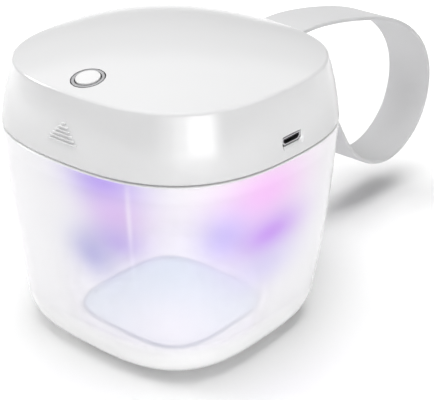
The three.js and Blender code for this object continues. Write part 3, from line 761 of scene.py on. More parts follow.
@dataclass(frozen=True)
class ClearPlastic(Finish):
    """Clear glossy plastic, a little bluish, denser where it is seen at a slant and along its cut edge.

    A soft patch towards the front corner is paler. The cut edge is the band between two shares of the
    squircle, (|x / half|^power + |y / half|^power)^(1 / power). The ripple whitens the plastic, dims its
    glow, and changes its density and its roughness by the two uneven numbers.
    """

    milk: float
    # glow, glow_strength: the plastic's own light; painted light on the plate, the lamp itself on the lamp
    # window
    glow: Colour
    glow_strength: float
    roughness: float = 0.04
    ripple: float = 7.0
    bump_depth: float = 0.01
    whitened: float = 0.4
    dimmed: float = 0.15
    uneven: Pair = (0.1, 0.02)
    edge_half: float = 0.0
    edge_power: float = 3.7
    edge_shares: Pair = (0.955, 0.98)
    edge_milk: float = 1.2
    edge_colour: Colour = (0.4, 0.43, 0.52)
    pale_middle: Triple = (10.0, -12.0, 2.0)
    pale_reach: Triple = (23.0, 21.0, 20.0)

    def sockets(self, recipe: Recipe, where: Place) -> dict[str, object]:
        """Returns the values and wires that Finish.sockets asks for."""
        ripple = recipe.noise(where, self.ripple)
        body = recipe.tint(self.colour).blended(WHITE, ripple * self.whitened)
        light = recipe.tint(self.glow).blended(self.colour, ripple * self.dimmed)
        pale = recipe.puff(where, self.pale_middle, self.pale_reach)
        body, light = body.blended(WHITE, pale), light.blended(WHITE, pale)
        density = self.milk + ripple.swing(self.uneven[0])
        if self.edge_half:
            shares = (part / (self.edge_half * MILLIMETRE) for part in where.parts()[:2])
            x, y = (share.maths("ABSOLUTE").maths("POWER", self.edge_power) for share in shares)
            edge = (x + y).maths("POWER", 1 / self.edge_power).between(*self.edge_shares)
            body, light = body.blended(self.edge_colour, edge), light.blended(self.edge_colour, edge)
            density = density + self.edge_milk * edge
        return dict(
            Base_Color=body,
            Roughness=self.roughness + self.uneven[1] * ripple,
            Alpha=recipe.stopped(density),
            Emission_Color=light,
            Emission_Strength=self.glow_strength,
            IOR=PLASTIC_IOR,
            Normal=recipe.bump(ripple, self.bump_depth),
        )


@dataclass(frozen=True)
class Silicone(Finish):
    """Soft matt silicone with a fine skin, faint dust and a soft sheen."""

    roughness: float = 0.5
    sheen: float = 0.04
    patch: float = 18.0
    skin: float = 0.3
    skin_depth: float = 0.006
    dust: float = 1.04
    gloss: float = 0.25
    sheen_roughness: float = 0.4
    uneven: Pair = (0.12, 0.08)

    def sockets(self, recipe: Recipe, where: Place) -> dict[str, object]:
        """Returns the values and wires that Finish.sockets asks for."""
        skin, broad = recipe.noise(where, self.skin, 4.0), recipe.noise(where, self.patch)
        return dict(
            Base_Color=recipe.tint(self.colour).blended(self.shaded(self.dust), broad),
            Roughness=self.roughness + skin.swing(self.uneven[0]) + broad.swing(self.uneven[1]),
            Specular_IOR_Level=self.gloss,
            Sheen_Weight=self.sheen,
            Sheen_Roughness=self.sheen_roughness,
            Normal=recipe.bump(skin, self.skin_depth),
        )


@dataclass(frozen=True)
class DrawnSteel(Finish):
    """Bright steel with fine drawing lines along one axis and a little unevenness of gloss."""

    colour: Colour = (0.62, 0.63, 0.65)
    stretch: Triple = (0.05, 1.0, 1.0)
    roughness: float = 0.24
    line: float = 0.12
    line_depth: float = 0.003
    line_shade: float = 0.85
    patch: float = 6.0
    uneven: Pair = (0.15, 0.06)

    def sockets(self, recipe: Recipe, where: Place) -> dict[str, object]:
        """Returns the values and wires that Finish.sockets asks for."""
        lines, broad = recipe.noise(where * self.stretch, self.line), recipe.noise(where, self.patch)
        return dict(
            Base_Color=recipe.tint(self.shaded(self.line_shade)).blended(self.colour, lines),
            Metallic=1.0,
            Roughness=self.roughness + lines.swing(self.uneven[0]) + broad.swing(self.uneven[1]),
            Normal=recipe.bump(lines, self.line_depth),
        )


@dataclass(frozen=True)
class BoardLaminate(Finish):
    """Green circuit laminate: a woven glass ground with copper lanes under the lacquer.

    The lanes are a wave texture's bands, which lie band_share divided by its scale apart.
    """

    colour: Colour = (0.02, 0.16, 0.07)
    lane_colour: Colour = (0.04, 0.26, 0.12)
    lane_pitch: float = 2.4
    band_share: float = 0.32
    lane_bend: float = 5.0
    lane_edge: Pair = (0.55, 0.62)
    weave: float = 0.5
    weave_share: float = 0.3
    bump_depth: float = 0.02
    roughness: float = 0.3
    uneven: float = 0.1

    def sockets(self, recipe: Recipe, where: Place) -> dict[str, object]:
        """Returns the values and wires that Finish.sockets asks for."""
        settings = {"wave_type": "BANDS", "bands_direction": "DIAGONAL", "wave_profile": "SIN"}
        scale = self.band_share / (self.lane_pitch * MILLIMETRE)
        inputs = {"Vector": where, "Scale": scale, "Distortion": self.lane_bend, "Detail": 1.0}
        wave = Value(recipe, recipe.node("ShaderNodeTexWave", settings, inputs).outputs[1])
        lanes, weave = wave.between(*self.lane_edge), recipe.noise(where, self.weave)
        return dict(
            Base_Color=recipe.tint(self.colour).blended(self.lane_colour, lanes),
            Roughness=self.roughness + self.uneven * weave,
            Normal=recipe.bump(lanes + self.weave_share * weave, self.bump_depth),
        )


@dataclass(frozen=True)
class CellFoil(Finish):
    """Silvery battery foil with soft creases, darker where they are low: painted shade."""

    colour: Colour = (0.6, 0.61, 0.64)
    crease: float = 5.0
    crease_depth: float = 0.12
    # painted shade: the foil is darker where its creases are low
    painted_crease_shade: float = 0.8
    grain: float = 0.5
    metallic: float = 0.9
    roughness: float = 0.25
    uneven: float = 0.2

    def sockets(self, recipe: Recipe, where: Place) -> dict[str, object]:
        """Returns the values and wires that Finish.sockets asks for."""
        creases, fine = recipe.noise(where, self.crease, 4.0), recipe.noise(where, self.grain)
        return dict(
            Base_Color=recipe.tint(self.shaded(self.painted_crease_shade)).blended(self.colour, creases),
            Metallic=self.metallic,
            Roughness=self.roughness + self.uneven * fine,
            Normal=recipe.bump(creases, self.crease_depth),
        )


TUB_GLOWS = (
    Glow((13.0, -39.0, 57.0), (11.0, 9.0, 7.0), (0.42, 0.28, 0.90), 0.85),
    Glow((16.0, -38.0, 48.0), (9.0, 9.0, 7.0), (0.72, 0.45, 0.88), 0.7),
    Glow((16.5, -37.5, 41.0), (8.0, 9.0, 5.0), (0.46, 0.32, 0.84), 0.7),
    Glow((8.0, -38.0, 35.5), (7.5, 9.0, 7.0), (0.38, 0.36, 0.74), 0.8),
    Glow((39.0, -10.0, 52.0), (9.0, 15.0, 9.0), (0.95, 0.52, 0.96), 0.9),
    Glow((38.5, -7.0, 39.5), (9.0, 13.0, 6.5), (0.56, 0.27, 0.88), 0.95),
    Glow((36.0, -22.0, 43.0), (8.0, 7.0, 7.0), (0.50, 0.42, 0.94), 0.7),
    Glow((38.0, -8.0, 30.0), (9.0, 14.0, 7.0), (0.60, 0.54, 0.90), 0.6),
    # painted highlight: a thin bright vertical streak, a painted reflection on the wall
    Glow((19.5, -37.0, 48.0), (0.7, 6.0, 9.0), (0.98, 0.95, 1.0), 0.5),
)
MILKY_OUTSIDE = MilkyPlastic(
    "milky_outside",
    (0.92, 0.915, 0.93),
    TUB_GLOWS,
    foot_milk=2.4,
    rim_milk=1.2,
    cloud_milk=0.7,
    light=0.05,
    roughness=0.1,
)
# The inside: darker colour and a stronger painted glow, standing in for the light inside the closed tub.
MILKY_INSIDE = MilkyPlastic(
    "milky_inside",
    (0.92, 0.905, 0.94),
    TUB_GLOWS,
    foot_milk=1.5,
    rim_milk=1.0,
    cloud_milk=0.5,
    light=0.38,
    roughness=0.5,
    foot_light=0.2,
    shade=0.35,
    foot=(2.6, 8.0),
)
# The plate's glow is painted light, the pale blue light it shows inside the closed tub; the lamp window's
# glow is the lamp itself.
CLEAR_PLATE = ClearPlastic("clear_plate", (0.50, 0.66, 0.76), 0.6, (0.55, 0.86, 1.0), 0.22, edge_half=21.0)
LAMP_WINDOW = ClearPlastic("lamp_window", (0.80, 0.80, 1.0), 0.5, (0.30, 0.16, 0.95), 1.2)
LID_WHITE = MouldedPlastic("lid_white", (0.755, 0.755, 0.76), 0.16, 0.35, 0.0015, gloss=0.75)
CAP_WHITE = MouldedPlastic("cap_white", (0.82, 0.82, 0.82), 0.3, 0.25, 0.001)
INNER_WHITE = MouldedPlastic("inner_white", (0.76, 0.76, 0.79), 0.45, 0.5, 0.01)
RING_GREY = MouldedPlastic("ring_grey", (0.40, 0.40, 0.41), 0.32, 0.15, 0.002, 0.03)
BLACK_PLASTIC = MouldedPlastic("black_plastic", (0.016, 0.016, 0.018), 0.42, 0.3, 0.008, 0.1)
CHIP_BLACK = MouldedPlastic("chip_black", (0.012, 0.012, 0.013), 0.55, 0.2, 0.01, 0.1)
LED_CERAMIC = MouldedPlastic("led_ceramic", (0.82, 0.74, 0.52), 0.35, 0.3, 0.004)
RED_WIRE = MouldedPlastic("red_wire", (0.42, 0.01, 0.01), 0.4, 0.3, 0.004, 0.06)
BLACK_WIRE = MouldedPlastic("black_wire", (0.012, 0.012, 0.012), 0.4, 0.3, 0.004, 0.06)
STRAP_GREY = Silicone("strap_grey", (0.64, 0.64, 0.645))
SEAL_GREY = Silicone("seal_grey", (0.62, 0.62, 0.65), 0.6, 0.1)
STEEL = DrawnSteel("steel")
PORT_STEEL = DrawnSteel("port_steel", (0.5, 0.5, 0.52), (1.0, 0.05, 1.0), 0.3)


# Pieces


@dataclass
class Piece:
    """A new piece of the scene: its name, where it rides, and the CAD nodes that it stands for."""

    name: str
    body: Body
    slot: Slot
    replaced: tuple[str, ...] = ()
    crisp: float = 32.0

    def make(self, surface: Surface, *finishes: Finish) -> None:
        """Makes the object, which rides on its body.

        Args:
            surface: Its surface, in millimetres.
            *finishes: The finish of each finish number.
        """
        mesh = mesh_of(self.name, surface)
        for finish in finishes:
            mesh.materials.append(finish.material())
        mesh.polygons.foreach_set("use_smooth", np.ones(len(mesh.polygons), bool))
        mesh.set_sharp_from_angle(angle=math.radians(self.crisp))
        made = placed(self.name, mesh)
        modifier = made.modifiers.new("weighted", "WEIGHTED_NORMAL")
        modifier.keep_sharp = True
        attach(made, self.body.value)
        if self.replaced:
            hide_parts(*self.replaced)
        LOG.info("made %s with %d faces", self.name, len(mesh.polygons))


def dress(finish: Finish, *nodes: str) -> None:
    """Gives CAD nodes a finish.

    Args:
        finish: The finish.
        *nodes: The nodes' names.
    """
    for node in nodes:
        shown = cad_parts[node]
        shown.data.materials.clear()
        shown.data.materials.append(finish.material())
        LOG.info("dressed %s", node)


@dataclass
class CaseForm:
    """The outside form that the tub and the lid share."""

    half: float = 40.0
    knee_half: float = 34.7
    foot_half: float = 24.6
    fillet: float = 10.1
    body_height: float = 58.0
    wall: float = 2.2
    bulge: float = 0.6
    foot_power: float = 3.0
    seam_power: float = 2.6
    lid_bottom: float = 58.4
    lid_side: float = 16.5
    crease_half: float = 36.5
    crease_power: float = 2.66
    crown_power: float = CIRCLE
    lid_bulge: float = 0.42
    dome_rise: float = 4.85
    hinge: Pair = (43.0, 58.0)
    barrel_radius: float = 2.4
    knuckle_leg: float = 6.0
    knuckle_edge: float = 0.35
    knuckle_past: float = 36.0
    knuckle_steps: int = 40
    bore_radius: float = 1.3

    @property
    def crease_z(self) -> float:
        """Returns the height of the crease."""
        return self.lid_bottom + self.lid_side

    def body_levels(self, heights: np.ndarray, inset: float = 0.0) -> np.ndarray:
        """Works out levels of the body's wall: a straight lean plus bulge sin(pi s), less an inset.

        Args:
            heights: The levels' heights.
            inset: How far inside the wall they lie.

        Returns:
            The levels.
        """
        share = (heights - self.fillet) / (self.body_height - self.fillet)
        lean = self.knee_half + (self.half - self.knee_half) * share
        power = self.foot_power + (self.seam_power - self.foot_power) * share
        return levels_of(lean + self.bulge * np.sin(np.pi * share) - inset, heights, power)

    def lid_levels(self, heights: np.ndarray, inset: float = 0.0) -> np.ndarray:
        """Works out levels of the lid's wall: a straight lean plus bulge sin(pi s), less an inset.

        Args:
            heights: The levels' heights.
            inset: How far inside the wall they lie.

        Returns:
            The levels.
        """
        share = (heights - self.lid_bottom) / self.lid_side
        lean = self.half + (self.crease_half - self.half) * share
        power = self.seam_power + (self.crease_power - self.seam_power) * share
        return levels_of(lean + self.lid_bulge * np.sin(np.pi * share) - inset, heights, power)

    def dome_levels(self, shares: np.ndarray, sunk: float = 0.0) -> np.ndarray:
        """Works out levels of the dome, whose height is crease + rise (1 - share^2), less a sinking.

        Args:
            shares: Shares of the crease's half-width.
            sunk: How far below the dome they lie.

        Returns:
            The levels.
        """
        height = self.crease_z + self.dome_rise * (1 - shares**2) - sunk
        power = self.crown_power + (self.crease_power - self.crown_power) * shares
        return levels_of(self.crease_half * shares, height, power)

    def lid_half(self, height: float) -> float:
        """Returns the lid's half-width at a height."""
        return float(self.lid_levels(np.array([height]))[0, 0])

    def knuckle(self, upward: bool, start: float, end: float) -> Surface:
        """Makes a knuckle: a barrel round the hinge's axis with a leg that runs to the wall.

        Args:
            upward: Whether the leg runs up to the lid's wall.
            start: The lowest X.
            end: The highest X.

        Returns:
            The knuckle with its bore.
        """
        wall = self.half - self.wall / 2
        first, last = 180.0, -self.knuckle_past
        ends = [(wall, self.body_height - self.knuckle_leg), (wall, self.body_height)]
        if upward:
            rise = self.lid_bottom - self.hinge[1]
            first = 180 - math.degrees(math.asin(rise / self.barrel_radius))
            last = 360 + self.knuckle_past
            ends = [(wall, self.lid_bottom + self.knuckle_leg), (wall, self.lid_bottom)]
        barrel = arc(self.hinge, self.barrel_radius, first, last, self.knuckle_steps)
        whole = prism(np.vstack([ends, barrel]), start, end, self.knuckle_edge)
        return cut(whole, rod(self.hinge, self.bore_radius, start - SPARE, end + SPARE))


@dataclass
class Tub:
    """The translucent tub, its clear floor plate and the magnet in its rim."""

    form: CaseForm = field(default_factory=CaseForm)
    rim_radius: float = 0.5
    rest_inset: float = 0.6
    floor: float = 2.4
    recess_floor: float = 1.4
    recess_half: float = 21.3
    recess_power: float = 3.7
    recess_chamfer: float = 0.15
    plate_half: float = 21.0
    plate_low: float = 1.7
    plate_high: float = 2.7
    plate_edge: float = 0.35
    knuckle_half: float = 6.0
    pocket_size: Triple = (4.6, 1.8, 3.6)
    pocket_y: float = 39.2
    pocket_edge: float = 0.1
    turn_rows: int = 28
    outer_rows: int = 48
    inner_rows: int = 40
    edge_rows: int = 6

    def levels(self) -> tuple[np.ndarray, int]:
        """Works out the profile from the foot over the rim to the floor.

        Returns:
            The levels, and how many of them are outside.
        """
        form = self.form
        turn = np.linspace(0, np.pi / 2, self.turn_rows)
        foot_half = form.foot_half + form.fillet * np.sin(turn)
        foot = levels_of(foot_half, form.fillet * (1 - np.cos(turn)), form.foot_power)
        top = form.body_height - self.rim_radius
        outside = form.body_levels(np.linspace(form.fillet, top, self.outer_rows))[1:]
        inside = form.body_levels(np.linspace(top, form.fillet, self.inner_rows), form.wall)
        edge = np.linspace(0, np.pi / 2, self.edge_rows)[1:]
        lift = top + self.rim_radius * np.sin(edge)
        pull = self.rim_radius * (1 - np.cos(edge))
        outer_edge = levels_of(outside[-1, 0] - pull, lift, form.seam_power)
        inner_edge = levels_of(inside[0, 0] + pull, lift, form.seam_power)[::-1]
        bowl_half = form.foot_half + (form.fillet - form.wall) * np.sin(turn[::-1])
        bowl_height = form.fillet - (form.fillet - self.floor) * np.cos(turn[::-1])
        bowl = levels_of(bowl_half, bowl_height, form.foot_power)[1:]
        half, chamfer = self.recess_half, self.recess_chamfer
        heights = np.array([self.floor, self.floor - chamfer, self.recess_floor, self.recess_floor])
        recess = levels_of(np.array([half + chamfer, half, half, 0.0]), heights, self.recess_power)
        start = levels_of(np.array([0.0, form.foot_half - self.rest_inset]), 0.0, form.foot_power)
        outer = np.vstack([start, foot, outside, outer_edge])
        return np.vstack([outer, inner_edge, inside, bowl, recess]), len(outer)

    def shell(self) -> Surface:
        """Makes the tub with its magnet pocket and its knuckle.

        Returns:
            The tub, whose inside has finish number 1.
        """
        levels, outer = self.levels()
        finish = (np.arange(len(levels) - 1) >= outer).astype(int)
        width, depth, height = self.pocket_size
        top = self.form.body_height
        pocket = block(width, depth, top - height, top + 2 * SPARE, self.pocket_edge).moved(y=self.pocket_y)
        tub = cut(shell(levels, Ends.POINTED, finish), pocket)
        return tub + self.form.knuckle(False, -self.knuckle_half, self.knuckle_half)

    def plate(self) -> Surface:
        """Makes the floor plate.

        Returns:
            The plate.
        """
        corners = section(0, self.plate_half, self.plate_low, self.plate_high)
        levels = np.array([(*corner, self.recess_power) for corner in corners])
        return shell(softened(levels, self.plate_edge, False), Ends.POINTED)

    def build(self) -> None:
        """Makes and dresses the tub's pieces."""
        tub = Piece("tub", Body.CASE, Slot.MILKY, ("body_shell",))
        tub.make(self.shell(), MILKY_OUTSIDE, MILKY_INSIDE)
        Piece("plate", Body.CASE, Slot.CLEAR, ("floor_plate",)).make(self.plate(), CLEAR_PLATE)
        dress(STEEL, "body_magnet")


@dataclass
class LidShell:
    """The white lid: dome, crease, grip ribs, knuckles, strap ears and the cuts for button and socket."""

    form: CaseForm = field(default_factory=CaseForm)
    top_thickness: float = 2.4
    corner_fillet: float = 0.6
    crease_fillet: float = 0.7
    rim_radius: float = 0.4
    knuckle_inner: float = 6.3
    knuckle_outer: float = 12.3
    rib_count: int = 6
    rib_lowest: float = 5.2
    rib_pitch: float = 0.88
    rib_height: float = 0.55
    rib_x: float = 0.5
    rib_widest: float = 9.7
    rib_narrowest: float = 1.2
    rib_proud: float = 0.5
    rib_root: float = 0.8
    rib_speck: float = 0.001
    ear_near: float = 8.15
    ear_far: float = 10.55
    ear_radius: float = 2.9
    ear_leg: float = 4.0
    ear_edge: float = 0.4
    bar: Pair = (43.6, 67.4)
    bar_bore: float = 1.5
    button_y: float = -29.6
    button_hole: float = 4.35
    button_depth: float = 6.0
    button_edge: float = 0.01
    slot_y: float = -0.6
    slot_z: float = 62.8
    slot_width: float = 7.4
    slot_height: float = 2.6
    slot_corner: float = 0.7
    slot_flare: float = 0.5
    slot_depth: float = 4.0
    boss_half: float = 22.03
    boss_radius: float = 2.8
    boss_bore: float = 1.4
    boss_low: float = 57.8
    boss_edge: float = 0.3
    boss_sides: int = 48
    roof_rows: int = 12
    inner_rows: int = 24
    outer_rows: int = 40
    edge_rows: int = 6
    crease_rows: int = 9
    rib_rows: int = 7
    rib_sides: int = 24
    ear_steps: int = 32

    def tilt(self) -> float:
        """Returns the lean of the dome at the button, in radians."""
        return math.atan(-2 * self.form.dome_rise * self.button_y / self.form.crease_half**2)

    def button_z(self) -> float:
        """Returns the dome's height at the button."""
        return self.form.crease_z + self.form.dome_rise * (1 - (self.button_y / self.form.crease_half) ** 2)

    def skin(self) -> Surface:
        """Makes the shell from the inner roof down, over the rim and up to the crown.

        The crease is the curve (1 - t)^2 a + 2 t (1 - t) b + t^2 c between the wall, the crease and the dome.

        Returns:
            The closed shell.
        """
        form = self.form
        inner_share = 1 - form.wall / form.crease_half
        roof_share = inner_share - self.corner_fillet / form.crease_half
        roof = form.dome_levels(np.linspace(0, roof_share, self.roof_rows), self.top_thickness)
        corner = form.dome_levels(np.array([inner_share]), self.top_thickness)[0, 1] - self.corner_fillet
        inside = form.lid_levels(np.linspace(corner, form.lid_bottom, self.inner_rows), form.wall)
        rim = form.lid_bottom + self.rim_radius
        outside = form.lid_levels(np.linspace(rim, form.crease_z - self.crease_fillet, self.outer_rows))
        edge = np.linspace(np.pi / 2, 0, self.edge_rows)[:-1]
        under_half = outside[0, 0] - self.rim_radius * (1 - np.cos(edge))
        under = levels_of(under_half, rim - self.rim_radius * np.sin(edge), form.seam_power)
        share = 1 - self.crease_fillet / form.crease_half
        crown = form.dome_levels(np.linspace(share, 0, self.outer_rows))
        t = np.linspace(0, 1, self.crease_rows)[1:-1, None]
        peak = form.lid_levels(np.array([form.crease_z]))[0]
        crease = (1 - t) ** 2 * outside[-1] + 2 * t * (1 - t) * peak + t**2 * crown[0]
        return shell(np.vstack([roof, inside, under, outside, crease, crown]), Ends.POINTED)

    def rib(self, index: int) -> Surface:
        """Makes one grip bar: a pill in outline whose section is a half ellipse, height by proud.

        Along the bar both half axes shrink with sqrt(1 - s^2) over a rounded end as long as the bar is high.

        Args:
            index: Its number, counted from the highest bar.

        Returns:
            The bar on the front of the lid.
        """
        share = index / (self.rib_count - 1)
        z = self.form.lid_bottom + self.rib_lowest + (self.rib_count - 1 - index) * self.rib_pitch
        width = self.rib_narrowest + (self.rib_widest - self.rib_narrowest) * share
        end = self.rib_height / 2
        turn = np.linspace(0, np.pi / 2, self.rib_rows)
        tip = width / 2 - end * (1 - np.sin(turn))
        places = np.concatenate([-tip[::-1], tip])
        size = np.concatenate([np.cos(turn[::-1]), np.cos(turn)]) * (1 - self.rib_speck) + self.rib_speck
        round_ = np.linspace(0, 2 * np.pi, self.rib_sides, endpoint=False)
        out = np.where(np.cos(round_) > 0, self.rib_proud, self.rib_root) * np.cos(round_)
        up = self.rib_height / 2 * np.sin(round_)
        size = size[:, None]
        rows = np.stack(np.broadcast_arrays(places[:, None], -size * out, size * up), axis=-1)
        near = self.rib_height
        lean = math.atan2(self.form.lid_half(z - near) - self.form.lid_half(z + near), 2 * near)
        bow = self.form.lid_half(z)
        return loft(rows, Ends.FLAT).leaned(-lean).moved(self.rib_x, -bow, z)

    def ear(self, side: int) -> Surface:
        """Makes an ear for the strap's bar.

        Args:
            side: 1 for the side with the socket and -1 for the other.

        Returns:
            The ear with its bore.
        """
        height = self.bar[1]
        wall = self.form.lid_half(height) - self.form.wall / 2
        ends = [(wall, height + self.ear_leg), (wall, height - self.ear_leg)]
        outline = np.vstack([ends, arc(self.bar, self.ear_radius, -90, 90, self.ear_steps)])
        start, end = sorted((side * self.ear_near, side * self.ear_far))
        bore = rod(self.bar, self.bar_bore, start - SPARE, end + SPARE)
        return cut(prism(outline, start, end, self.ear_edge), bore)

    def slot(self) -> Surface:
        """Makes the socket's cutter, which flares by a chamfer at the wall's surface.

        Returns:
            The cutter.
        """
        w, h, corner = self.slot_width / 2, self.slot_height / 2, self.slot_corner
        low, side = corner - h, w - corner
        outline = np.array([(-w, h), (-w, low), (-side, -h), (side, -h), (w, low), (w, h)])
        surface = self.form.lid_half(self.slot_z)
        grown = outline * (1 + 2 * self.slot_flare / np.array([w, h]))
        places = surface + np.array([-self.slot_depth, -self.slot_flare, self.slot_flare, 2 * SPARE])
        flats = [outline, outline, grown, grown]
        rows = np.stack([np.column_stack([np.full(6, x), flat]) for x, flat in zip(places, flats)])
        return loft(rows, Ends.FLAT).moved(y=self.slot_y, z=self.slot_z)

    def boss(self, x: int, y: int) -> Surface:
        """Makes one screw boss.

        Args:
            x: 1 or -1, its side along X.
            y: 1 or -1, its side along Y.

        Returns:
            The boss.
        """
        ring = section(self.boss_bore, self.boss_radius, self.boss_low, self.form.crease_z)
        made = lathe(ring, self.boss_edge, Ends.JOINED, self.boss_sides)
        return made.moved(x * self.boss_half, y * self.boss_half)

    def build(self) -> None:
        """Makes and dresses the lid's shell."""
        hole = section(0, self.button_hole, -self.button_depth, 2 * SPARE)
        hole = lathe(hole, self.button_edge, Ends.POINTED).leaned(self.tilt())
        hole = hole.moved(y=self.button_y, z=self.button_z())
        whole = cut(self.skin(), hole, self.slot())
        for index in range(self.rib_count):
            whole += self.rib(index)
        for side in (-1, 1):
            start, end = sorted((side * self.knuckle_inner, side * self.knuckle_outer))
            whole += self.form.knuckle(True, start, end) + self.ear(side)
        for x, y in ((-1, -1), (1, -1), (1, 1), (-1, 1)):
            whole += self.boss(x, y)
        Piece("lid", Body.LID, Slot.WHITE, ("lid_shell",)).make(whole, LID_WHITE)


@dataclass
class InnerCover:
    """The plug that closes the lid's underside, with its gasket, lamp window, seal and screws."""

    form: CaseForm = field(default_factory=CaseForm)
    low: float = 54.4
    top: float = 56.2
    half: float = 36.64
    chamfer: float = 0.8
    groove_low: float = 55.0
    groove_high: float = 57.2
    groove_depth: float = 0.9
    skirt: float = 2.0
    gap: float = 0.3
    flange_half: float = 37.5
    flange_top: float = 60.0
    opening: float = 13.2
    rim_inner: float = 15.3
    rim_outer: float = 16.3
    window_radius: float = 15.0
    window_low: float = 57.6
    window_high: float = 58.8
    seal_low: float = 56.5
    seal_high: float = 57.3
    window_edge: float = 0.3
    seal_edge: float = 0.2
    gasket_low: float = 55.3
    gasket_high: float = 56.9
    gasket_tip: float = 37.3
    gasket_lip: float = 0.35
    screw_half: float = 22.03
    screw_seat: float = 55.6
    head_radius: float = 2.1
    head_height: float = 1.2
    shank_radius: float = 1.1
    shank_length: float = 8.0
    thread_step: float = 0.4
    thread_depth: float = 0.16
    screw_edge: float = 0.3
    cross: Triple = (0.55, 2.3, 0.7)
    cross_edge: float = 0.05
    bore_edge: float = 0.02
    bore_sides: int = 48
    screw_sides: int = 40
    gasket_edge: float = 0.5
    ring_edge: float = 0.25

    def ring(self, rows: list[tuple[float, ...]], soft: float) -> Surface:
        """Makes a closed squircle ring; a row may give its own power as a third number."""
        full = [(*row, self.form.seam_power)[:3] for row in rows]
        return shell(softened(np.array(full), soft, True, steps=3), Ends.JOINED)

    def cover(self) -> Surface:
        """Makes the cover with the places of its four screws.

        Returns:
            The cover.
        """
        half, root, low, top = self.half, self.half - self.groove_depth, self.low, self.top
        bottom, skirt = self.form.lid_bottom, half - self.skirt - self.groove_depth
        inner, outer, high = self.rim_inner, self.rim_outer, self.window_high
        rows = [(self.opening, low, CIRCLE), (half - self.chamfer, low), (half, low + self.chamfer)]
        rows += [(half, self.groove_low), (root, self.groove_low), (root, self.groove_high)]
        rows += [(half, self.groove_high), (half, bottom), (self.flange_half, bottom)]
        rows += [(self.flange_half, self.flange_top), (skirt, self.flange_top), (skirt, top)]
        rows += [(outer, top, CIRCLE), (outer, high, CIRCLE), (inner, high, CIRCLE)]
        rows += [(inner, top, CIRCLE), (self.opening, top, CIRCLE)]
        whole = self.ring(rows, self.ring_edge)
        wide, narrow = self.head_radius + self.gap, self.shank_radius + self.gap
        seat, end = self.screw_seat + self.gap, self.top + 2 * SPARE
        start = low - SPARE
        tool = [(0, start), (wide, start), (wide, seat), (narrow, seat), (narrow, end), (0, end)]
        tool = lathe(tool, self.bore_edge, Ends.POINTED, self.bore_sides)
        return cut(whole, *(tool.moved(x, y) for x, y in self.screw_spots()))

    def screw_spots(self) -> list[Pair]:
        """Returns the places of the four lid screws, in the order of their nodes."""
        half = self.screw_half
        return [(-half, -half), (half, -half), (half, half), (-half, half)]

    def screw(self) -> Surface:
        """Makes a pan-head screw that stands on its head, with a cross recess and a threaded shank.

        The thread is a row of rings whose radius falls by a share of the shank's at every other one.

        Returns:
            The screw about the Z axis.
        """
        seat, height = self.screw_seat, self.head_height
        steps = np.arange(2 * int(self.shank_length / (2 * self.thread_step)))
        swing = self.shank_radius * (1 - np.where(steps % 2 == 0, 0.0, self.thread_depth))
        lift = self.thread_step * (steps + 1)
        thread = [(float(r), seat + float(up)) for r, up in zip(swing, lift) if up < self.shank_length]
        profile = [(0, seat - height), (self.head_radius, seat - height), (self.head_radius, seat)]
        profile += [(self.shank_radius, seat), *thread, (0, seat + self.shank_length)]
        made = lathe(profile, self.screw_edge, Ends.POINTED, self.screw_sides)
        width, length, depth = self.cross
        bar = block(width, length, seat - height - SPARE, seat - height + depth, self.cross_edge)
        cross = Surface(bar.points[:, [1, 0, 2]], bar.faces, bar.finishes)
        return cut(made, bar, cross)

    def build(self) -> None:
        """Makes and dresses the cover's pieces."""
        Piece("inner_cover", Body.LID, Slot.INNER, ("lid_inner_cover",)).make(self.cover(), INNER_WHITE)
        root = self.half - self.groove_depth + self.gap
        lip = self.gasket_tip - self.gasket_lip
        middle = (self.gasket_low + self.gasket_high) / 2
        gasket = [(root, self.gasket_low), (lip, self.gasket_low), (self.gasket_tip, middle)]
        gasket += [(lip, self.gasket_high), (root, self.gasket_high)]
        rubber = self.ring(gasket, self.gasket_edge)
        Piece("gasket", Body.LID, Slot.SEAL, ("lid_gasket",)).make(rubber, SEAL_GREY)
        window = section(0, self.window_radius, self.window_low, self.window_high)
        glass = lathe(window, self.window_edge, Ends.POINTED, FINE_SIDES)
        Piece("window", Body.LID, Slot.CLEAR, ("lamp_window",)).make(glass, LAMP_WINDOW)
        seal = section(self.opening, self.window_radius, self.seal_low, self.seal_high)
        rubber = lathe(seal, self.seal_edge, Ends.JOINED, FINE_SIDES)
        Piece("seal", Body.LID, Slot.SEAL, ("window_seal",)).make(rubber, SEAL_GREY)
        screw = self.screw()
        for number, (x, y) in enumerate(self.screw_spots(), 1):
            piece = Piece(f"cover_screw_{number}", Body.LID, Slot.STEEL, (f"lid_screw_{number}",))
            piece.make(screw.moved(x, y), STEEL)


